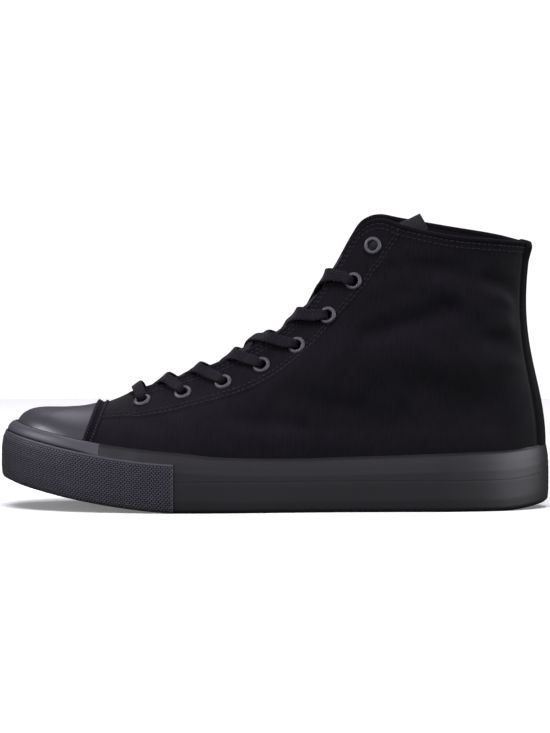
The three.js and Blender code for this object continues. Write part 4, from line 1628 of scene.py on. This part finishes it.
def looks():
    """Every material, made once."""
    if LOOKS:
        return LOOKS
    c = bpy.context.scene.sneaker_colours
    LOOKS.update(
        canvas=cloth_look("black ribbed canvas", c.canvas, rib=1050.0, pick=1300.0, depth=0.00016,
                          spread=0.85, sheen=0.1, specular=0.09),
        # The lining is black cloth, darkened further to a third of the canvas: painted shade inside the shoe.
        lining=cloth_look("lining with painted shade", scaled(c.canvas, 0.35), rib=1500.0, pick=1500.0, share=0.5,
                          sheen=0.0, specular=0.05),
        edge=cloth_look("turned canvas edge", scaled(c.canvas, 1.1), rib=1050.0, pick=1300.0, sheen=0.03,
                        specular=0.05),
        thread=cloth_look("black thread", c.thread, rib=0.0, pick=0.0, share=0.0, sheen=0.2),
        tongue=cloth_look("tongue canvas", scaled(c.canvas, 0.75), rib=1050.0, pick=1300.0),
        lace=cloth_look("flat woven lace", c.lace, rib=900.0, pick=700.0, share=0.9, depth=0.0006,
                        spread=0.7, sheen=0.05, specular=0.04),
        label=cloth_look("plain woven label", c.label, rib=730.0, pick=900.0, share=0.2, spread=0.3),
        insole=cloth_look("insole cloth", scaled(c.canvas, 1.0), rib=1200.0, pick=1200.0, share=0.5),
        sole=rubber_look("black sole rubber", c.sole, 0.44, specular=0.42),
        bumper=rubber_look("matt bumper rubber", c.bumper, 0.55, specular=0.35, spread=0.85, relief_shade=True),
        strip=rubber_look("strip rubber", c.strip, 0.48, specular=0.4, spread=0.12),
        cap=rubber_look("toe cap rubber", c.cap, 0.38, specular=0.5, spread=0.1, grain=900.0, depth=0.00002),
        paint=rubber_look("eyelet paint", c.paint, 0.45, specular=0.45, grain=700.0, metallic=0.0),
    )
    return LOOKS


# ---- The stage ----

CAMERA_AT, CAMERA_TO, CAMERA_LENS = (0.0, 2.2, 0.165), (0.0, 0.0, 0.077), 197.19
LIGHT_COLOUR = (0.96, 0.94, 1.0)
PAPER_GLOW = 0.17  # keeps the paper pale to the camera far from the lights
# Soft boxes: name, place, the point it faces, its size, its power, and whether it lights and gives a gloss.
SOFT_BOXES = """
key    0.15  1.15  2.1   0 0 0.06      1.5  66  1 0
top   -0.1  -0.9   1.7   0 0 0.05      1.5  13  1 1
toe    1.5   0.1   1.0   0.12 0 0.04   0.45 16  0 1
front  1.8   0.9   0.6   0 0 0.06      0.9  10  1 1
side   1.2   1.8   0.5   0.08 0 0.02   0.8   9  0 1
fill  -0.2   2.5   0.7   -0.07 0 0.02  0.7   7  0 1
heel  -1.7   1.2   0.45  -0.1 0 0.03   1.2  24  0 1
back  -2.0   0.1   0.4   -0.12 0 0.03  1.2  24  0 1
"""


def aim(thing, at, to):
    thing.location = at
    thing.rotation_euler = (Vector(to) - Vector(at)).to_track_quat("-Z", "Y").to_euler()


def paper_look():
    """White paper that the camera sees in full light, and that throws little light back on the shoe."""
    paper = Look("white paper", 0.9, 0.1)
    seen = paper.node("ShaderNodeLightPath")
    paper.colour(seen.outputs["Is Camera Ray"], (0.1, 0.1, 0.1), (0.95, 0.95, 0.95))
    paper.shader.inputs["Emission Color"].default_value = (1, 1, 1, 1)
    glow = maths(paper.tree, "MULTIPLY", seen.outputs["Is Camera Ray"], PAPER_GLOW)
    paper.link(glow, paper.shader.inputs["Emission Strength"])
    return paper.material


def build_stage():
    scene = bpy.context.scene
    camera = bpy.data.objects.new("camera", bpy.data.cameras.new("camera"))
    scene.collection.objects.link(camera)
    camera.data.lens, camera.data.sensor_width = CAMERA_LENS, 36.0
    camera.data.clip_end = 50.0
    aim(camera, CAMERA_AT, CAMERA_TO)
    scene.camera = camera
    for row in SOFT_BOXES.strip().splitlines():
        name, *numbers = row.split()
        x, y, z, tx, ty, tz, size, power, lights, gloss = (float(n) for n in numbers)
        light = bpy.data.lights.new(name, "AREA")
        light.size, light.energy = size, power
        light.color = LIGHT_COLOUR
        lamp = bpy.data.objects.new(name, light)
        scene.collection.objects.link(lamp)
        lamp.visible_diffuse, lamp.visible_glossy = bool(lights), bool(gloss)
        aim(lamp, (x, y, z), (tx, ty, tz))
    deselect()
    bpy.ops.mesh.primitive_circle_add(vertices=96, radius=1.25, fill_type="NGON")
    floor = bpy.context.active_object
    floor.name = "floor"
    floor.data.materials.append(paper_look())
    world = bpy.data.worlds.new("studio")
    scene.world = world
    world.use_nodes = True
    tree = world.node_tree
    background = tree.nodes["Background"]
    background.inputs["Color"].default_value = (1, 1, 1, 1)
    seen = tree.nodes.new("ShaderNodeLightPath")
    strength = maths(tree, "ADD", maths(tree, "MULTIPLY", seen.outputs["Is Camera Ray"], 0.95), 0.12)
    tree.links.new(strength, background.inputs["Strength"])
    scene.view_settings.view_transform = "Standard"


# ---- The add-on ----


def colour_of(name, description, value):
    return bpy.props.FloatVectorProperty(
        name=name, description=description, subtype="COLOR", size=3, min=0.0, max=1.0, default=value
    )


class SneakerColours(bpy.types.PropertyGroup):
    """Colours of the shoe's materials"""

    canvas: colour_of("Canvas", "Colour of the upper's canvas", (0.0078, 0.0069, 0.0098))
    thread: colour_of("Thread", "Colour of the sewing thread", (0.021, 0.018, 0.0245))
    lace: colour_of("Lace", "Colour of the woven lace", (0.021, 0.018, 0.0245))
    label: colour_of("Label", "Colour of the plain label on the tongue", (0.13, 0.122, 0.138))
    sole: colour_of("Sole", "Colour of the sole's rubber", (0.0095, 0.0085, 0.0115))
    bumper: colour_of("Bumper", "Colour of the bumper round the toe", (0.034, 0.032, 0.041))
    # The strip's own rubber is a lighter grey than the sole. Its colour is raised further to stand for light
    # on its front: painted light.
    strip: colour_of("Strip", "Colour of the strip over the bumper", (0.06, 0.057, 0.072))
    cap: colour_of("Cap", "Colour of the toe cap", (0.04, 0.0375, 0.048))
    paint: colour_of("Eyelet paint", "Colour of the painted eyelets", (0.075, 0.071, 0.087))


class SneakerSizes(bpy.types.PropertyGroup):
    """Sizes of the sewn and laced details"""

    stitch_gap: bpy.props.FloatProperty(
        name="Stitch spacing", description="Distance from one stitch to the next, in millimetres",
        default=STITCH_GAP, min=1.5, max=6.0,
    )
    tongue_thickness: bpy.props.FloatProperty(
        name="Tongue thickness", description="Thickness of the tongue, in millimetres",
        default=TONGUE_THICKNESS, min=1.0, max=3.2,
    )


class BuildStage(bpy.types.Operator):
    """Adds the floor, the soft boxes, the world and the camera"""

    bl_idname = "sneaker.stage"
    bl_label = "Stage"

    def execute(self, context):
        build_stage()
        return {"FINISHED"}


class BuildUpper(bpy.types.Operator):
    """Makes the canvas upper with its lining and its punched holes"""

    bl_idname = "sneaker.upper"
    bl_label = "Upper"

    def execute(self, context):
        made = looks()
        finish_piece(upper_canvas(), "canvas", made["canvas"], made["lining"], replaces=["upper"])
        return {"FINISHED"}


class BuildEdges(bpy.types.Operator):
    """Makes the turned edge, the heel strip and the cap's band"""

    bl_idname = "sneaker.edges"
    bl_label = "Edges and strips"

    def execute(self, context):
        made = looks()
        finish_piece(collar_edge(), "canvas", made["edge"])
        finish_piece(heel_strip(), "canvas", made["edge"])
        finish_piece(cap_band(), "canvas", made["edge"])
        return {"FINISHED"}


class BuildStitching(bpy.types.Operator):
    """Makes the rows of stitches"""

    bl_idname = "sneaker.stitching"
    bl_label = "Stitching"

    def execute(self, context):
        made = looks()
        finish_piece(upper_stitching(context.scene.sneaker_sizes.stitch_gap), "canvas", made["thread"])
        finish_piece(band_stitching(), "canvas", made["thread"])
        return {"FINISHED"}


class BuildSole(bpy.types.Operator):
    """Makes the outsole with its tread, and the side of the cup sole"""

    bl_idname = "sneaker.sole"
    bl_label = "Sole"

    def execute(self, context):
        made = looks()
        finish_piece(outsole(), "sole_rubber", made["sole"], replaces=["outsole"])
        finish_piece(midsole(), "sole_rubber", made["sole"], replaces=["midsole"])
        return {"FINISHED"}


class BuildToe(bpy.types.Operator):
    """Makes the bumper, the strip over it and the toe cap"""

    bl_idname = "sneaker.toe"
    bl_label = "Toe"

    def execute(self, context):
        made = looks()
        finish_piece(toe_bumper(), "bumper_rubber", made["bumper"], replaces=["toe_bumper"])
        finish_piece(toe_strip(), "sole_rubber", made["strip"], replaces=["toe_strip"])
        finish_piece(toe_cap(), "cap_rubber", made["cap"], replaces=["toe_cap"])
        return {"FINISHED"}


class BuildTongue(bpy.types.Operator):
    """Makes the tongue and its plain label"""

    bl_idname = "sneaker.tongue"
    bl_label = "Tongue"

    def execute(self, context):
        made = looks()
        padded = tongue(context.scene.sneaker_sizes.tongue_thickness)
        finish_piece(padded, "canvas", made["tongue"], replaces=["tongue"])
        finish_piece(tongue_label(), "canvas", made["label"])
        return {"FINISHED"}


class BuildInsole(bpy.types.Operator):
    """Makes the insole"""

    bl_idname = "sneaker.insole"
    bl_label = "Insole"

    def execute(self, context):
        finish_piece(insole(), "insole_cloth", looks()["insole"], replaces=["insole"])
        return {"FINISHED"}


class BuildEyelets(bpy.types.Operator):
    """Makes the sixteen painted eyelets"""

    bl_idname = "sneaker.eyelets"
    bl_label = "Eyelets"

    def execute(self, context):
        for row in range(EYELET_ROWS):
            for side, word in zip(SIDES, ("lateral", "medial")):
                ring = eyelet(row, side)
                finish_piece(ring, "eyelet_paint", looks()["paint"], replaces=[f"eyelet_{word}_{row + 1}"])
        return {"FINISHED"}


class BuildLace(bpy.types.Operator):
    """Runs the flat lace through the eyelets"""

    bl_idname = "sneaker.lace"
    bl_label = "Lace"

    def execute(self, context):
        piece, length = lace()
        nodes = ["lace_bar"] + [f"lace_cross_{i}" for i in range(1, LACED)]
        finish_piece(piece, "lace", looks()["lace"], replaces=nodes)
        print(f"lace length {length:.0f} mm")
        return {"FINISHED"}


class SneakerPanel(bpy.types.Panel):
    """The pieces of the shoe, in the order in which they are made"""

    bl_idname = "VIEW3D_PT_sneaker"
    bl_label = "High Top Sneaker"
    bl_space_type = "VIEW_3D"
    bl_region_type = "UI"
    bl_category = "Sneaker"

    def draw(self, context):
        layout = self.layout
        for group in (context.scene.sneaker_colours, context.scene.sneaker_sizes):
            for key in group.bl_rna.properties.keys():
                if key not in ("rna_type", "name"):
                    layout.prop(group, key)
        for operator in OPERATORS:
            layout.operator(operator.bl_idname)


OPERATORS = (
    BuildStage, BuildSole, BuildToe, BuildUpper, BuildEdges, BuildStitching, BuildTongue, BuildInsole,
    BuildEyelets, BuildLace,
)
CLASSES = (SneakerColours, SneakerSizes, *OPERATORS, SneakerPanel)


def register():
    for made in CLASSES:
        bpy.utils.register_class(made)
    bpy.types.Scene.sneaker_colours = bpy.props.PointerProperty(type=SneakerColours)
    bpy.types.Scene.sneaker_sizes = bpy.props.PointerProperty(type=SneakerSizes)


def unregister():
    del bpy.types.Scene.sneaker_colours
    del bpy.types.Scene.sneaker_sizes
    for made in reversed(CLASSES):
        bpy.utils.unregister_class(made)


def main():
    register()
    for name in (operator.bl_idname.split(".")[1] for operator in OPERATORS):
        getattr(bpy.ops.sneaker, name)()


if __name__ == "__main__":
    main()
